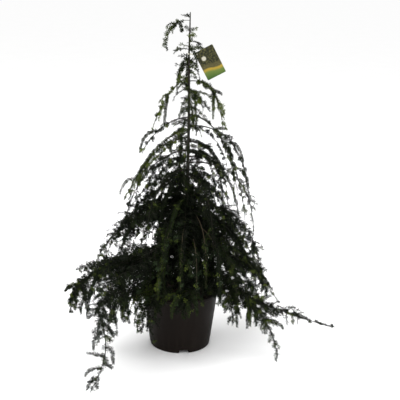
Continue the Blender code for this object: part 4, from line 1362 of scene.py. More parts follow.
def grow_limb(limb, limbs, span, sizes):
    """Every twig of one limb, and of the stretch of trunk below it."""
    space = Space(limb, limbs)
    rule = random.Random("%s %d" % (limb.name, SPRAY_SEED))
    finer = random.Random("%s finer" % limb.name)
    shoots = stem_shoots(limb, space, rule, finer)
    sprays = list(grow_sprays(limb, space, rule))
    longest = sizes.side_length * limb.sized(SIDE_SIZE_FLOOR)
    rope = limb.height > ROPE_LIMBS
    stem = stem_twig(limb, finer)
    branches = list(spray_branches(limb, sprays, finer))
    branches += shoot_branches(limb, shoots, finer)
    branches += hanging_sprays(limb, finer) + trunk_twigs(limb, span, finer)
    arching = strands(limb, span, finer)
    twigs = [stem, *branches]
    for strand, full in [(strand, 1.0) for strand in arching] + side_strands(limb, limbs, finer):
        reach = STRAND_TWIG_LENGTH * limb.sized(SIZE_FLOOR) * (full or BARE_STRAND_TWIGS)
        start = max(STRAND_TWIG_START, strand.needled_from)
        tuft = TUFT_GAP if full == 1.0 else None
        tufts = side_twigs(strand, finer, STRAND_TWIG_SPACING, reach, SPECKLED, start, math.pi / 2, tuft)
        twigs += [strand, *tufts]
    for branch in branches:
        reach = min(longest, SIDE_SHARE * branch.length)
        spacing = sizes.twig_spacing * max(1.0, SIDE_GAP_SHARE * branch.gap)
        twigs += side_twigs(branch, finer, spacing, reach, MIXED)
    first = max(0.0, (limb.spray_start - limb.bare) / (1.0 - limb.bare))
    spacing = ROPE_TWIG_SPACING if rope else sizes.twig_spacing
    reach = longest * STEM_SIDE_SHARE
    twigs += side_twigs(stem, finer, spacing, reach, SPECKLED, first, math.pi / 2, TUFT_GAP if rope else None)
    return [twig for twig in twigs if twig is stem or twig.clear()]


@functools.lru_cache(maxsize=1)
def grow_crown():
    """Limbs, and all their twigs by limb name."""
    sizes = bpy.context.scene.hemlock_foliage
    limbs = [Limb(row) for row in LIMBS]
    order = sorted(limbs, key=lambda limb: limb.height)
    heights = [TRUNK_TWIGS[0]] + [min(TRUNK_TWIGS[1], limb.height) for limb in order]
    spans = {limb.name: span for limb, span in zip(order, itertools.pairwise(heights))}
    return limbs, {limb.name: grow_limb(limb, limbs, spans[limb.name], sizes) for limb in limbs}


def line_object(name, lines):
    """Lines as one mesh of edges. Each is (points, values by name), a value for all or one for each point."""
    mesh = bpy.data.meshes.new(name)
    points = np.array([tuple(point) for line, _ in lines for point in line], dtype=np.float32)
    counts = np.array([len(line) for line, _ in lines])
    ends = np.cumsum(counts) - 1
    starts = np.delete(np.arange(len(points)), ends)
    mesh.vertices.add(len(points))
    mesh.vertices.foreach_set("co", points.ravel())
    mesh.edges.add(len(starts))
    mesh.edges.foreach_set("vertices", np.stack([starts, starts + 1], axis=1).ravel())
    for key in lines[0][1]:
        rows = []
        for line, values in lines:
            value = values[key]
            rows += value if isinstance(value, list) else [value] * len(line)
        vector = isinstance(rows[0], Vector)
        layer = mesh.attributes.new(key, "FLOAT_VECTOR" if vector else "FLOAT", "POINT")
        flat = np.array([tuple(row) if vector else row for row in rows], dtype=np.float32).ravel()
        layer.data.foreach_set("vector" if vector else "value", flat)
    return new_object(name, mesh)


def twig_values(twig):
    """What a twig's points carry."""
    shares = [mark / twig.length for mark in twig.marks]
    if twig.thick is None:
        shares = twig.limb.shares(twig.limb.bare, 1.0, LINE_STEP)
        thick = [twig.limb.radius(share) for share in shares]
    else:
        thick = [twig.thick * (1.0 - TWIG_TAPER * share) for share in shares]
    return twig.points, {
        "thick": thick,
        "share": shares,
        "tint": float(twig.tint),
        "wood": float(twig.wood),
        "gap": twig.gap,
        "size": 1.0 + (NEEDLE_SIZE_HIGH - 1.0) * (1.0 - twig.size) / (1.0 - HIGH_SIZE),
        "needled": [1.0 if share >= twig.needled_from else 0.0 for share in shares],
        "aside": twig.aside,
    }


def tier_limbs(limbs):
    """Limbs by tier of the crown."""
    found = {name: [] for name, lowest in TIERS}
    for limb in limbs:
        name = next(name for name, lowest in TIERS if limb.height >= lowest)
        found[name].append(limb)
    return found


def plain_finish(name, colour, roughness, gloss):
    """A plain colour for pieces of many small parts."""
    return Finish(name).surface((*colour, 1.0), roughness, gloss)


# -------- node trees

def swept(maker, curve, thick, sides):
    """A tube of a number of sides round a curve."""
    ring = maker.made("GeometryNodeCurvePrimitiveCircle", {"Resolution": sides, "Radius": 1.0})
    place = maker.made("GeometryNodeInputPosition")
    ring = maker.store(ring, "ring", place, "FLOAT_VECTOR")
    feeds = {"Curve": curve, "Profile Curve": ring, "Scale": thick, "Fill Caps": True}
    return maker.made("GeometryNodeCurveToMesh", feeds)


def twig_tree(materials):
    """Thin tubes along the twigs."""
    maker = ShapeTree("twig_tubes", Sides="Int")
    curve = maker.made("GeometryNodeMeshToCurve", {0: maker.given("Geometry")})
    tubes = swept(maker, curve, maker.stored("thick"), maker.given("Sides"))
    maker.close(tubes, materials, "wood")
    return maker


def bark_tree(material):
    """Tubes with furrowed bark along the trunk and boughs."""
    maker = ShapeTree("bark_relief", Sides="Int", Spacing="Float", Relief="Float", Seed="Int")
    curve = maker.made("GeometryNodeMeshToCurve", {0: maker.given("Geometry")})
    feeds = {"Curve": curve, "Length": maker.given("Spacing")}
    even = maker.made("GeometryNodeResampleCurve", feeds, mode="LENGTH")
    even = maker.store(even, "along", maker.node("GeometryNodeSplineParameter").outputs["Length"])
    thick = maker.stored("thick")
    tubes = swept(maker, even, thick, maker.given("Sides"))
    around = maker.scaled(maker.stored("ring", "FLOAT_VECTOR"), thick)
    across = maker.parts(around)
    feeds = {0: across[0], 1: across[1], 2: maker.times(maker.stored("along"), BARK_STRETCH)}
    place = maker.made("ShaderNodeCombineXYZ", feeds)
    tubes = maker.store(tubes, "bark_place", place, "FLOAT_VECTOR")
    spot = maker.stored("bark_place", "FLOAT_VECTOR")
    ridges = maker.made("ShaderNodeTexNoise", {"Vector": spot, "Scale": RIDGE_SCALE, "Detail": 3.0})
    knots = maker.made("ShaderNodeTexNoise", {"Vector": spot, "Scale": KNOT_SCALE, "Detail": 1.0})
    height = maker.number("ADD", ridges, knots)
    height = maker.times(maker.number("SUBTRACT", height, 1.0), maker.given("Relief"))
    normal = maker.made("GeometryNodeInputNormal")
    offset = maker.scaled(normal, maker.times(height, thick))
    bark = maker.made("GeometryNodeSetPosition", {"Geometry": tubes, "Offset": offset})
    maker.close(bark, [material])
    return maker


def blocked_tip(maker, tip):
    """One where a needle's tip would enter the pot, the floor or the card, else nothing."""
    parts = maker.parts(tip)
    flat = maker.made("ShaderNodeCombineXYZ", {0: parts[0], 1: parts[1]})
    out = maker.vector("LENGTH", flat)
    low = maker.number("LESS_THAN", parts[2], POT_HEIGHT + TIP_OVER_RIM)
    near = maker.number("LESS_THAN", out, POT_RIM_RADIUS + TIP_OUTSIDE)
    under = maker.number("LESS_THAN", parts[2], SOIL_TOP + TIP_OVER_SOIL)
    wall = maker.number("GREATER_THAN", out, POT_RIM_RADIUS - TIP_INSIDE)
    pot = maker.times(maker.times(low, near), maker.number("MAXIMUM", under, wall))
    floor = maker.number("LESS_THAN", parts[2], TIP_OVER_FLOOR)
    down, across, facing = tag_axes()
    offset = maker.vector("SUBTRACT", tip, TAG_TOP_CENTRE + down * TAG_LENGTH / 2)
    card = None
    for axis, half in ((down, TAG_LENGTH / 2), (across, TAG_WIDTH / 2), (facing, TAG_THICKNESS)):
        gap = maker.number("ABSOLUTE", maker.vector("DOT_PRODUCT", offset, tuple(axis)))
        inside = maker.number("LESS_THAN", gap, half + TIP_OFF_CARD)
        card = inside if card is None else maker.times(card, inside)
    return maker.number("MAXIMUM", maker.number("MAXIMUM", pot, floor), card)


def needle_tree(materials):
    """Needles in two ragged rows along the twigs."""
    maker = ShapeTree("needle_rows", Needle="Object", Spacing="Float", Length="Float", Seed="Int")
    curve = maker.made("GeometryNodeMeshToCurve", {0: maker.given("Geometry")})
    spacing = maker.times(maker.given("Spacing"), maker.stored("gap"))
    rows = maker.node("GeometryNodeCurveToPoints", {"Curve": curve, "Length": spacing}, mode="LENGTH")
    forward = rows.outputs["Tangent"]
    given_aside = maker.stored("aside", "FLOAT_VECTOR")
    along = maker.scaled(forward, maker.vector("DOT_PRODUCT", given_aside, forward))
    side = maker.vector("NORMALIZE", maker.vector("SUBTRACT", given_aside, along))
    up = maker.vector("CROSS_PRODUCT", forward, side)
    index = maker.made("GeometryNodeInputIndex")
    turn = maker.number("MULTIPLY_ADD", maker.number("MODULO", index, 2.0), 2.0, -1.0)
    share = maker.stored("share")
    angle = maker.number("MULTIPLY_ADD", share, NEEDLE_CLOSING, maker.random(*NEEDLE_ANGLES, 1))
    lift = maker.random(-NEEDLE_LIFT, NEEDLE_LIFT, 2)
    ahead = maker.scaled(forward, maker.number("COSINE", angle))
    beside = maker.scaled(side, maker.times(turn, maker.number("SINE", angle)))
    direction = maker.vector("ADD", maker.vector("ADD", ahead, beside), maker.scaled(up, lift))
    direction = maker.vector("NORMALIZE", direction)
    facing = maker.vector("ADD", up, maker.scaled(side, maker.random(-NEEDLE_TWIST, NEEDLE_TWIST, 3)))
    feeds = {"Primary Axis": direction, "Secondary Axis": facing}
    turned = maker.made("FunctionNodeAxesToRotation", feeds, primary_axis="Y", secondary_axis="Z")
    fade = maker.number("POWER", share, NEEDLE_FADE_POWER)
    fade = maker.number("MULTIPLY_ADD", fade, NEEDLE_FADE, 1.0)
    length = maker.times(maker.given("Length"), maker.random(*NEEDLE_LENGTHS, 4))
    length = maker.times(length, maker.times(fade, maker.stored("size")))
    place = maker.made("GeometryNodeInputPosition")
    blocked = blocked_tip(maker, maker.vector("ADD", place, maker.scaled(direction, length)))
    shown = maker.number("SUBTRACT", maker.number("GREATER_THAN", maker.stored("needled"), 0.5), blocked)
    needle = maker.node("GeometryNodeObjectInfo", {"Object": maker.given("Needle")}).outputs["Geometry"]
    feeds = {"Points": rows.outputs["Points"], "Instance": needle, "Rotation": turned, "Scale": length}
    feeds["Selection"] = maker.number("GREATER_THAN", shown, 0.5)
    maker.close(maker.made("GeometryNodeInstanceOnPoints", feeds), materials, "tint")
    return maker


def chip_tree(materials):
    """Bark chips strewn over peat."""
    maker = ShapeTree("potting_mix", Chip="Object", Spacing="Float", Size="Float", Seed="Int")
    place = maker.made("GeometryNodeInputPosition")
    lumps = maker.made("ShaderNodeTexNoise", {"Vector": place, "Scale": 60.0, "Detail": 5.0})
    rise = maker.number("MULTIPLY_ADD", lumps, 0.010, -0.0042)
    offset = maker.made("ShaderNodeCombineXYZ", {2: rise})
    feeds = {"Geometry": maker.given("Geometry"), "Offset": offset}
    bed = maker.made("GeometryNodeSetPosition", feeds)
    bed = maker.store(bed, "mix", 0.0)
    feeds = {"Mesh": bed, "Distance Min": maker.given("Spacing"), "Density Max": CHIP_DENSITY}
    feeds["Seed"] = maker.given("Seed")
    spots = maker.made("GeometryNodeDistributePointsOnFaces", feeds, distribute_method="POISSON")
    spin = {0: maker.random(-0.5, 0.5, 1), 1: maker.random(-0.5, 0.5, 2), 2: maker.random(0.0, 6.28, 3)}
    turned = maker.made("ShaderNodeCombineXYZ", spin)
    size = maker.times(maker.given("Size"), maker.random(0.35, 1.0, 4))
    chip = maker.node("GeometryNodeObjectInfo", {"Object": maker.given("Chip")}).outputs["Geometry"]
    feeds = {"Points": spots, "Instance": chip, "Rotation": turned, "Scale": size}
    chips = maker.made("GeometryNodeInstanceOnPoints", feeds)
    feeds = {"Geometry": chips, "Name": "mix"}
    kind = maker.node("GeometryNodeStoreNamedAttribute", feeds, domain="INSTANCE")
    both = maker.node("GeometryNodeJoinGeometry")
    maker.tree.links.new(kind.outputs[0], both.inputs[0])
    maker.tree.links.new(bed, both.inputs[0])
    maker.tree.links.new(maker.number("ADD", 1.0, 0.0), kind.inputs["Value"])
    maker.close(both.outputs[0], materials, "mix")
    return maker


# -------- foliage

def needle_shape():
    """A flat, blunt needle one metre long, of three triangles."""
    shape = bmesh.new()
    points = [shape.verts.new((across, along, 0.0)) for across, along in NEEDLE_CORNERS]
    shape.faces.new((points[0], points[1], points[4]))
    shape.faces.new((points[1], points[2], points[3], points[4]))
    bmesh.ops.triangulate(shape, faces=shape.faces)
    return object_from_bmesh("needle_shape", shape, smooth=False)


def build_tiers(kind, slot, tree, **inputs):
    """One piece for each tier, by a tree that runs on the tier's twigs."""
    limbs, crown = grow_crown()
    for name, members in tier_limbs(limbs).items():
        lines = [twig_values(twig) for limb in members for twig in crown[limb.name]]
        piece = line_object(kind + "_" + name, lines)
        tree.run(piece, **inputs)
        finish_piece(piece, slot, *["foliage_" + limb.name for limb in members])


def build_twigs():
    """The twigs of each tier as one piece."""
    colours = bpy.context.scene.hemlock_foliage
    old = plain_finish("old_wood", colours.old_wood, 0.85, 0.2)
    young = plain_finish("young_wood", colours.young_wood, 0.8, 0.2)
    build_tiers("twigs", "bark", twig_tree([old, young]), Sides=3)


def build_needles():
    """The needles of each tier as one piece."""
    sizes = bpy.context.scene.hemlock_foliage
    greens = [plain_finish("needles_" + tint, getattr(sizes, tint), 0.68, 0.04) for tint in NEEDLE_TINTS]
    needle = needle_shape()
    spacing, length = sizes.needle_spacing, sizes.needle_length
    rows = needle_tree(greens)
    build_tiers("needles", "needles", rows, Needle=needle, Spacing=spacing, Length=length, Seed=sizes.seed)
    remove_helper(needle)


# -------- bark

def bark_finish(colours):
    """Furrowed grey-brown bark with a green bloom."""
    finish = Finish("bark")
    spot = finish.node("ShaderNodeAttribute", attribute_name="bark_place").outputs["Vector"]
    ridges = finish.noise(spot, RIDGE_SCALE, 6.0, 0.6)
    patches = finish.noise(finish.place(), 22.0, 3.0)
    grain = finish.noise(spot, 1500.0, 4.0, 0.7)
    colour = finish.ramp(ridges, (0.36, colours.furrow), (0.66, colours.ridge))
    colour = finish.mix(finish.ramp(patches, (0.46, 0.0), (0.68, 0.75)), colour, colours.algae)
    rough = finish.ramp(grain, (0.2, 0.70), (0.8, 0.95))
    relief = finish.bump(ridges, 0.0010, 0.8, finish.bump(grain, 0.0003, 0.7))
    return finish.surface(colour, rough, 0.25, relief)


def trunk_line():
    """The trunk's line and thickness, with the corners of its rings smoothed away."""
    foot = SOIL_TOP + TOUCH_GAP
    rings = np.array(TRUNK_RINGS)
    heights = np.arange(0.0, rings[-1, 0], BARK_STEP)
    values = [np.interp(heights, rings[:, 0], rings[:, column]) for column in (1, 2, 3)]
    weights = np.hanning(SMOOTH_WINDOW) / np.hanning(SMOOTH_WINDOW).sum()
    padded = [np.pad(value, SMOOTH_WINDOW // 2, mode="edge") for value in values]
    smooth = [np.convolve(value, weights, mode="valid") for value in padded]
    points = [Vector((x, y, foot + z)) for x, y, z in zip(smooth[1], smooth[2], heights)]
    points.append(Vector((rings[-1, 2], rings[-1, 3], foot + rings[-1, 0])))
    thick = [float(value) for value in smooth[0]] + [TRUNK_TIP]
    return points, {"thick": thick}


def bough_line(limb):
    """A bough's line and thickness, with a collar where it leaves the trunk."""
    run = limb.shares(0.0, limb.bare + BOUGH_OVERLAP, BARK_STEP)
    collar = limb.trunk_radius * COLLAR_REACH
    thick = []
    for share in run:
        near = max(0.0, 1.0 - share * limb.length / collar)
        thick.append(limb.radius(share) * (1.0 + COLLAR_SWELL * near * near))
    return [limb.point(share) for share in run], {"thick": thick}


def build_bark():
    """The trunk and the boughs, each a mesh with the bark's relief."""
    sizes = bpy.context.scene.hemlock_bark
    limbs = grow_crown()[0]
    tree = bark_tree(bark_finish(sizes))
    trunk = line_object("trunk_bark", [trunk_line()])
    tree.run(trunk, Sides=TRUNK_SIDES, Spacing=TRUNK_RING_STEP, Relief=sizes.relief, Seed=1)
    finish_piece(trunk, "bark", "trunk")
    bare = [limb for limb in limbs if limb.bare > 0.0]
    boughs = line_object("bough_bark", [bough_line(limb) for limb in bare])
    tree.run(boughs, Sides=BOUGH_SIDES, Spacing=BOUGH_RING_STEP, Relief=sizes.relief, Seed=2)
    finish_piece(boughs, "bark", *["bough_" + limb.name for limb in bare])


# -------- pot and soil

def pot_radius(height):
    """Outer radius of the pot's tapered wall at a height."""
    wall_top = POT_RIM_RADIUS - LIP_STEP
    return POT_BASE_RADIUS + (wall_top - POT_BASE_RADIUS) * height / POT_HEIGHT


def rounded_outline(corners, steps=5):
    """A closed outline whose corners are rounded: each corner is (across, up, rounding)."""
    outline = []
    count = len(corners)
    for index, (across, up, rounding) in enumerate(corners):
        here = Vector((across, up))
        if rounding == 0.0:
            outline.append(here)
            continue
        before = Vector(corners[index - 1][:2])
        after = Vector(corners[(index + 1) % count][:2])
        start = here + (before - here).normalized() * min(rounding, (before - here).length * 0.49)
        end = here + (after - here).normalized() * min(rounding, (after - here).length * 0.49)
        for step in range(steps + 1):
            share = step / steps
            outline.append(start.lerp(here, share).lerp(here.lerp(end, share), share))
    return outline


def turned_shape(outline, segments):
    """A bmesh of a closed outline turned round the Z axis; points on the axis close to one vertex."""
    shape = bmesh.new()
    rings = []
    for across, up in outline:
        if across < 1e-6:
            rings.append([shape.verts.new((0.0, 0.0, up))])
            continue
        turns = [index * math.tau / segments for index in range(segments)]
        rings.append([shape.verts.new((across * math.cos(a), across * math.sin(a), up)) for a in turns])
    for first, second in zip(rings, rings[1:] + rings[:1]):
        if len(first) == 1 and len(second) == 1:
            continue
        for index in range(segments):
            after = (index + 1) % segments
            corners = [first[index % len(first)], first[after % len(first)]]
            corners += [second[after % len(second)], second[index % len(second)]]
            shape.faces.new(list(dict.fromkeys(corners)))
    bmesh.ops.recalc_face_normals(shape, faces=shape.faces)
    return shape


def pot_outline():
    """Half section of the pot, from the top of its lip down the outside."""
    lip_low = POT_HEIGHT - LIP_HEIGHT
    floor_top = FLOOR_UNDERSIDE + FLOOR_THICKNESS
    return rounded_outline((
        (POT_RIM_RADIUS - 0.0004, POT_HEIGHT, 0.0010),
        (POT_RIM_RADIUS, POT_HEIGHT - 0.0030, 0.0010),
        (POT_RIM_RADIUS - 0.0008, lip_low + 0.0015, 0.0008),
        (pot_radius(lip_low) - 0.0002, lip_low - 0.0005, 0.0008),
        (pot_radius(0.030) + 0.0002, 0.030, 0.0010),
        (POT_BASE_RADIUS, 0.0020, 0.0015),
        (POT_BASE_RADIUS - 0.0016, 0.0, 0.0012),
        (POT_BASE_RADIUS - FOOT_WIDTH, 0.0, 0.0010),
        (POT_BASE_RADIUS - FOOT_WIDTH - PAD_FLARE, FLOOR_UNDERSIDE, 0.0015),
        (PAD_RADIUS + PAD_FLARE, FLOOR_UNDERSIDE, 0.0015),
        (PAD_RADIUS, 0.0, 0.0008),
        (0.0, 0.0, 0.0),
        (0.0, floor_top, 0.0),
        (pot_radius(floor_top) - POT_WALL, floor_top, 0.0030),
        (pot_radius(lip_low) - POT_WALL, lip_low, 0.0030),
        (POT_RIM_RADIUS - 0.0048, POT_HEIGHT, 0.0010),
    ))


def notch_block(index):
    """A trapezoid block across the foot ring."""
    block = bmesh.new()
    bmesh.ops.create_cube(block, size=1.0)
    for corner in block.verts:
        low = corner.co.z < 0.0
        corner.co.x *= NOTCH_WIDTH_LOW if low else NOTCH_WIDTH_HIGH
        corner.co.y = corner.co.y * NOTCH_DEPTH - POT_BASE_RADIUS
        corner.co.z = -0.002 if low else NOTCH_HEIGHT
    turn = Matrix.Rotation(NOTCH_TURN + index * math.tau / NOTCH_COUNT, 3, "Z")
    bmesh.ops.rotate(block, verts=block.verts, matrix=turn)
    sides = [edge for edge in block.edges if abs((edge.verts[0].co - edge.verts[1].co).z) > 0.001]
    bmesh.ops.bevel(block, geom=sides, offset=0.0015, segments=3, affect="EDGES", profile=0.5)
    return object_from_bmesh("notch_block", block, bpy.data.materials.new("cutter"))


def pot_finish(colours):
    """Dull recycled plastic with dried splashes and a fine moulded grain."""
    finish = Finish("pot_plastic")
    place = finish.place()
    cloud = finish.noise(place, 9.0, 5.0, 0.6)
    specks = finish.noise(place, 260.0, 3.0, 0.7)
    streaks = finish.noise(finish.mapped(place, (60.0, 60.0, 5.0)), 1.0, 4.0, 0.6)
    height = finish.parts(place)[2]
    low = finish.made("ShaderNodeMapRange", {0: height, 1: 0.0, 2: 0.07, 3: 1.0, 4: 0.25})
    dust = finish.times(finish.ramp(streaks, (0.45, 0.0), (0.80, 0.55)), low)
    worn = finish.ramp(cloud, (0.35, 0.0), (0.75, 0.35))
    colour = finish.mix(worn, colours.plastic, (0.012, 0.009, 0.007))
    colour = finish.mix(finish.times(specks, dust), colour, colours.dust)
    rough = finish.ramp(cloud, (0.3, 0.46), (0.7, 0.66))
    grain = finish.bump(specks, 0.0002, 0.35)
    return finish.surface(colour, rough, 0.08, grain)


def build_pot():
    """The pot, turned from its section, with notches through its foot."""
    material = pot_finish(bpy.context.scene.hemlock_pot)
    pot = object_from_bmesh("pot_shell", turned_shape(pot_outline(), POT_SEGMENTS), material)
    blocks = [notch_block(index) for index in range(NOTCH_COUNT)]
    for block in blocks:
        cut = pot.modifiers.new("notch", "BOOLEAN")
        cut.operation = "DIFFERENCE"
        cut.solver = "EXACT"
        cut.object = block
    apply_modifiers(pot)
    for block in blocks:
        remove_helper(block)
    pot.data.set_sharp_from_angle(angle=math.radians(40.0))
    finish_piece(pot, "pot_plastic", "pot")


def mix_finish(name, base, spread, scale):
    """Crumbly matter: a colour that varies between two, with painted shade in the low spots of its crumbs."""
    finish = Finish(name)
    place = finish.place()
    grain = finish.noise(place, scale, 6.0, 0.7)
    tone = finish.noise(place, scale * 0.22, 2.0)
    colour = finish.mix(finish.ramp(tone, (0.35, 0.0), (0.68, 1.0)), base, spread)
    # Painted shade: where the grain sinks under the bump, the colour is pulled towards near black.
    colour = finish.mix(finish.ramp(grain, (0.35, 0.6), (0.60, 0.0)), colour, (0.006, 0.004, 0.003))
    rough = finish.ramp(grain, (0.3, 0.85), (0.7, 0.97))
    crumbs = finish.bump(grain, 0.0009, 0.8)
    return finish.surface(colour, rough, 0.2, crumbs)


def soil_bed():
    """A fine round grid a little over the soil, inside the pot's wall."""
    reach = pot_radius(SOIL_TOP) - POT_WALL - BED_GAP
    outline = [Vector((reach * step / BED_RINGS, SOIL_TOP + BED_TOP)) for step in range(BED_RINGS + 1)]
    outline += [Vector((across, SOIL_TOP + BED_UNDERSIDE)) for across in (reach, 0.0)]
    return object_from_bmesh("potting_mix", turned_shape(outline, BED_SEGMENTS), smooth=False)


def chip_shape():
    """A flat splinter of bark one metre long."""
    shape = bmesh.new()
    bmesh.ops.create_cube(shape, size=1.0)
    uneven = random.Random(3)
    for corner in shape.verts:
        corner.co.x *= uneven.uniform(0.80, 1.0)
        corner.co.y *= uneven.uniform(0.34, 0.62)
        corner.co.z *= uneven.uniform(0.12, 0.22)
    return object_from_bmesh("chip_shape", shape, bpy.data.materials.new("chip"), smooth=False)


def build_soil():
    """Peat with bark chips over the soil's flat top, and the soil's own finish."""
    colours = bpy.context.scene.hemlock_pot
    peat = mix_finish("peat", colours.peat, (0.026, 0.018, 0.012), 420.0)
    chips = mix_finish("bark_chips", colours.chip, (0.024, 0.015, 0.010), 300.0)
    for slot in bpy.data.objects["soil"].material_slots:
        slot.material = peat
    chip = chip_shape()
    bed = soil_bed()
    spacing, size = colours.chip_spacing, colours.chip_size
    chip_tree([peat, chips]).run(bed, Chip=chip, Spacing=spacing, Size=size, Seed=11)
    remove_helper(chip)
    finish_piece(bed, "soil_mix")


# -------- tag

def card_finish(colours):
    """A printed card: a shaded field, a disc, a hill, a bright stripe and a lawn."""
    finish = Finish("tag_print")
    down, across = tag_axes()[:2]
    offset = finish.vector("SUBTRACT", finish.place(), TAG_TOP_CENTRE)
    along = finish.number("DIVIDE", finish.vector("DOT_PRODUCT", offset, tuple(down)), TAG_LENGTH)
    beside = finish.number("DIVIDE", finish.vector("DOT_PRODUCT", offset, tuple(across)), TAG_LENGTH)
    ripple = finish.noise(finish.place(), 90.0, 3.0)
    wave = finish.number("SINE", finish.times(beside, 7.0))
    bent = finish.number("ADD", along, finish.times(wave, 0.045))
    bent = finish.number("ADD", bent, finish.times(finish.number("SUBTRACT", ripple, 0.5), 0.05))
    leaves = finish.ramp(finish.noise(finish.place(), 190.0, 5.0, 0.72), (0.46, 0.0), (0.64, 0.9))
    field = finish.mix(leaves, colours.shade, colours.olive)
    lawn = finish.mix(finish.ramp(bent, (0.78, 1.0), (1.0, 0.0)), colours.lawn, (0.11, 0.15, 0.03))
    edge = finish.ramp(bent, (0.50, 0.0), (0.56, 1.0))
    stubble = finish.mix(leaves, (0.055, 0.048, 0.018), colours.olive)
    colour = finish.mix(edge, field, stubble)
    colour = finish.mix(finish.ramp(bent, (0.66, 0.0), (0.70, 1.0)), colour, colours.yellow)
    colour = finish.mix(finish.ramp(bent, (0.73, 0.0), (0.80, 1.0)), colour, lawn)
    spot = finish.made("ShaderNodeCombineXYZ", {0: along, 1: beside})
    gap = finish.vector("DISTANCE", spot, (0.30, 0.13, 0.0))
    disc = finish.ramp(gap, (0.060, 1.0), (0.085, 0.0))
    colour = finish.mix(disc, colour, colours.cream)
    sheen = finish.ramp(ripple, (0.3, 0.28), (0.7, 0.38))
    return finish.surface(colour, sheen, 0.2)


def paper_finish(colours):
    """The card's pale back, edges and strap."""
    finish = Finish("tag_back")
    fibre = finish.noise(finish.place(), 900.0, 3.0)
    colour = finish.mix(finish.ramp(fibre, (0.3, 0.0), (0.7, 0.5)), colours.cream, (0.50, 0.50, 0.44))
    rough = finish.ramp(fibre, (0.3, 0.42), (0.7, 0.55))
    return finish.surface(colour, rough, relief=finish.bump(fibre, 0.0001, 0.3))


def card_shape(prints):
    """A card with round corners and a slight curl."""
    down, across, facing = tag_axes()
    shape = bmesh.new()
    columns, rows = CARD_GRID
    corner = CARD_CORNER
    grid = {}
    for row in range(rows + 1):
        for column in range(columns + 1):
            x = (column / columns - 0.5) * TAG_WIDTH
            y = row / rows * TAG_LENGTH
            inset_x = max(0.0, abs(x) - (TAG_WIDTH / 2 - corner))
            inset_y = max(0.0, abs(y - TAG_LENGTH / 2) - (TAG_LENGTH / 2 - corner))
            reach = math.hypot(inset_x, inset_y)
            if reach > corner:
                x -= math.copysign(inset_x * (1.0 - corner / reach), x)
                y -= math.copysign(inset_y * (1.0 - corner / reach), y - TAG_LENGTH / 2)
            curl = CARD_CURL * math.sin(math.pi * row / rows) - CARD_CURL / 2
            grid[column, row] = shape.verts.new(TAG_TOP_CENTRE + down * y + across * x + facing * curl)
    for row in range(rows):
        for column in range(columns):
            spots = ((0, 0), (0, 1), (1, 1), (1, 0))
            shape.faces.new([grid[column + right, row + lower] for right, lower in spots])
    bmesh.ops.recalc_face_normals(shape, faces=shape.faces)
    if sum(face.normal.dot(facing) for face in shape.faces) < 0.0:
        bmesh.ops.reverse_faces(shape, faces=shape.faces)
    card = object_from_bmesh("tag_card", shape, prints[0])
    card.data.materials.append(prints[1])
    wall = card.modifiers.new("thickness", "SOLIDIFY")
    wall.thickness = TAG_THICKNESS
    wall.offset = 0.0
    wall.material_offset = 1
    wall.material_offset_rim = 1
    apply_modifiers(card)
    return card


def strap_shape(material):
    """A flat strap from the card that loops round the trunk."""
    down, across, facing = tag_axes()
    centre, radius = trunk_centre(STRAP_HEIGHT)
    reach = radius + STRAP_OFF_TRUNK
    end = TAG_TOP_CENTRE + down * STRAP_INSET + across * (TAG_WIDTH / 2 - STRAP_INSET)
    first, whole = STRAP_TURNS
    turns = [math.radians(first + whole * step / STRAP_STEPS) for step in range(STRAP_STEPS + 1)]
    around = [(reach * math.cos(a), reach * math.sin(a), STRAP_RISE * math.sin(a / 2)) for a in turns]
    loop = [centre + Vector(offset) for offset in around]
    path = [end.lerp(loop[0], share) + facing * off for share, off in STRAP_LEAD] + loop
    shape = bmesh.new()
    rings = []
    for index, point in enumerate(path):
        forward = (path[min(index + 1, len(path) - 1)] - path[max(index - 1, 0)]).normalized()
        side = (Vector((0.0, 0.0, 1.0)) - forward * forward.z).normalized()
        out = forward.cross(side)
        wide, thin = STRAP_HALVES
        corners = ((1, 1), (1, -1), (-1, -1), (-1, 1))
        rings.append([shape.verts.new(point + side * wide * a + out * thin * b) for a, b in corners])
    for first, second in itertools.pairwise(rings):
        for index in range(4):
            after = (index + 1) % 4
            shape.faces.new((first[index], first[after], second[after], second[index]))
    shape.faces.new(rings[0])
    shape.faces.new(reversed(rings[-1]))
    bmesh.ops.recalc_face_normals(shape, faces=shape.faces)
    return object_from_bmesh("tag_strap", shape, material, smooth=False)


def build_tag():
    """The card and its strap."""
    colours = bpy.context.scene.hemlock_tag
    prints = [card_finish(colours), paper_finish(colours)]
    card = card_shape(prints)
    finish_piece(card, "tag_card", "plant_tag")
    strap = strap_shape(prints[1])
    finish_piece(strap, "tag_card", "plant_tag")


# -------- stage

def soft_lamp(name, place, aim, size, power):
    """A large square lamp that faces a point."""
    light = bpy.data.lights.new(name, "AREA")
    light.size = size
    light.energy = power
    lamp = new_object(name, light)
    lamp.location = place
    lamp.rotation_euler = (Vector(aim) - Vector(place)).to_track_quat("-Z", "Y").to_euler()


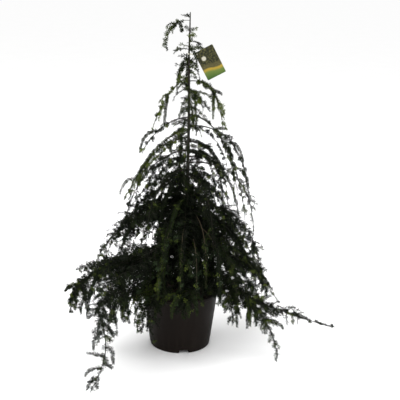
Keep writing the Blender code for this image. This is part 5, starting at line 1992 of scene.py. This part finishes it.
def build_stage():
    """Floor, surroundings, lamps and camera."""
    sizes = bpy.context.scene.hemlock_stage
    shape = bmesh.new()
    bmesh.ops.create_grid(shape, x_segments=1, y_segments=1, size=FLOOR_REACH)
    finish = Finish("floor")
    cloud = finish.noise(finish.place(), 3.0, 2.0)
    tone = finish.ramp(cloud, (0.3, sizes.floor), (0.7, (0.98, 0.98, 0.98)))
    pale = finish.surface(tone, 0.9, 0.0)
    object_from_bmesh("floor", shape, pale)
    world = bpy.data.worlds.new("surroundings")
    world.use_nodes = True
    world.node_tree.nodes["Background"].inputs["Color"].default_value = (1.0, 1.0, 1.0, 1.0)
    world.node_tree.nodes["Background"].inputs["Strength"].default_value = sizes.sky
    bpy.context.scene.world = world
    bpy.context.scene.view_settings.view_transform = "Standard"
    for name, place, aim, share in LAMPS:
        soft_lamp(name, place, aim, LAMP_SIZE, sizes.lamp * share)
    lens = bpy.data.cameras.new("camera")
    lens.sensor_width = SENSOR_WIDTH
    lens.lens = VIEW_FOCAL / VIEW_FRAME * SENSOR_WIDTH
    camera = new_object("camera", lens)
    camera.matrix_world = view_matrix()
    bpy.context.scene.camera = camera


# -------- add-on

class HEMLOCK_OT_stage(bpy.types.Operator):
    """Add the floor, the light and the camera"""
    bl_idname = "hemlock.stage"
    bl_label = "Stage"

    def execute(self, context):
        build_stage()
        return {"FINISHED"}


class HEMLOCK_OT_pot(bpy.types.Operator):
    """Add the pot with its lip, foot and notches"""
    bl_idname = "hemlock.pot"
    bl_label = "Pot"

    def execute(self, context):
        build_pot()
        return {"FINISHED"}


class HEMLOCK_OT_soil(bpy.types.Operator):
    """Add the potting mix with its bark chips"""
    bl_idname = "hemlock.soil"
    bl_label = "Potting mix"

    def execute(self, context):
        build_soil()
        return {"FINISHED"}


class HEMLOCK_OT_bark(bpy.types.Operator):
    """Add the trunk and the boughs"""
    bl_idname = "hemlock.bark"
    bl_label = "Trunk and boughs"

    def execute(self, context):
        build_bark()
        return {"FINISHED"}


class HEMLOCK_OT_twigs(bpy.types.Operator):
    """Add the twigs of every tier"""
    bl_idname = "hemlock.twigs"
    bl_label = "Twigs"

    def execute(self, context):
        build_twigs()
        return {"FINISHED"}


class HEMLOCK_OT_needles(bpy.types.Operator):
    """Add the needles of every tier"""
    bl_idname = "hemlock.needles"
    bl_label = "Needles"

    def execute(self, context):
        build_needles()
        return {"FINISHED"}


class HEMLOCK_OT_tag(bpy.types.Operator):
    """Add the card and its strap"""
    bl_idname = "hemlock.tag"
    bl_label = "Tag"

    def execute(self, context):
        build_tag()
        return {"FINISHED"}


OPERATORS = (
    HEMLOCK_OT_stage,
    HEMLOCK_OT_pot,
    HEMLOCK_OT_soil,
    HEMLOCK_OT_bark,
    HEMLOCK_OT_twigs,
    HEMLOCK_OT_needles,
    HEMLOCK_OT_tag,
)
GROUPS = {
    "hemlock_stage": HEMLOCK_PG_stage,
    "hemlock_pot": HEMLOCK_PG_pot,
    "hemlock_bark": HEMLOCK_PG_bark,
    "hemlock_foliage": HEMLOCK_PG_foliage,
    "hemlock_tag": HEMLOCK_PG_tag,
}


class HEMLOCK_PT_panel(bpy.types.Panel):
    """Sizes, colours and pieces of the hemlock"""
    bl_label = "Weeping hemlock"
    bl_idname = "HEMLOCK_PT_panel"
    bl_space_type = "VIEW_3D"
    bl_region_type = "UI"
    bl_category = "Hemlock"

    def draw(self, context):
        for name, group in GROUPS.items():
            box = self.layout.box()
            for setting in group.__annotations__:
                box.prop(getattr(context.scene, name), setting)
        for operator in OPERATORS:
            self.layout.operator(operator.bl_idname)


def register():
    """Make the settings, operators and panel known."""
    for item in (*GROUPS.values(), *OPERATORS, HEMLOCK_PT_panel):
        bpy.utils.register_class(item)
    for name, group in GROUPS.items():
        setattr(bpy.types.Scene, name, PointerProperty(type=group))


def unregister():
    """Take them away again."""
    for name in GROUPS:
        delattr(bpy.types.Scene, name)
    for item in (HEMLOCK_PT_panel, *reversed(OPERATORS), *reversed(list(GROUPS.values()))):
        bpy.utils.unregister_class(item)


def main():
    """Build every piece."""
    register()
    bpy.ops.hemlock.stage()
    bpy.ops.hemlock.pot()
    bpy.ops.hemlock.soil()
    bpy.ops.hemlock.bark()
    bpy.ops.hemlock.twigs()
    bpy.ops.hemlock.needles()
    bpy.ops.hemlock.tag()


if __name__ == "__main__":
    main()
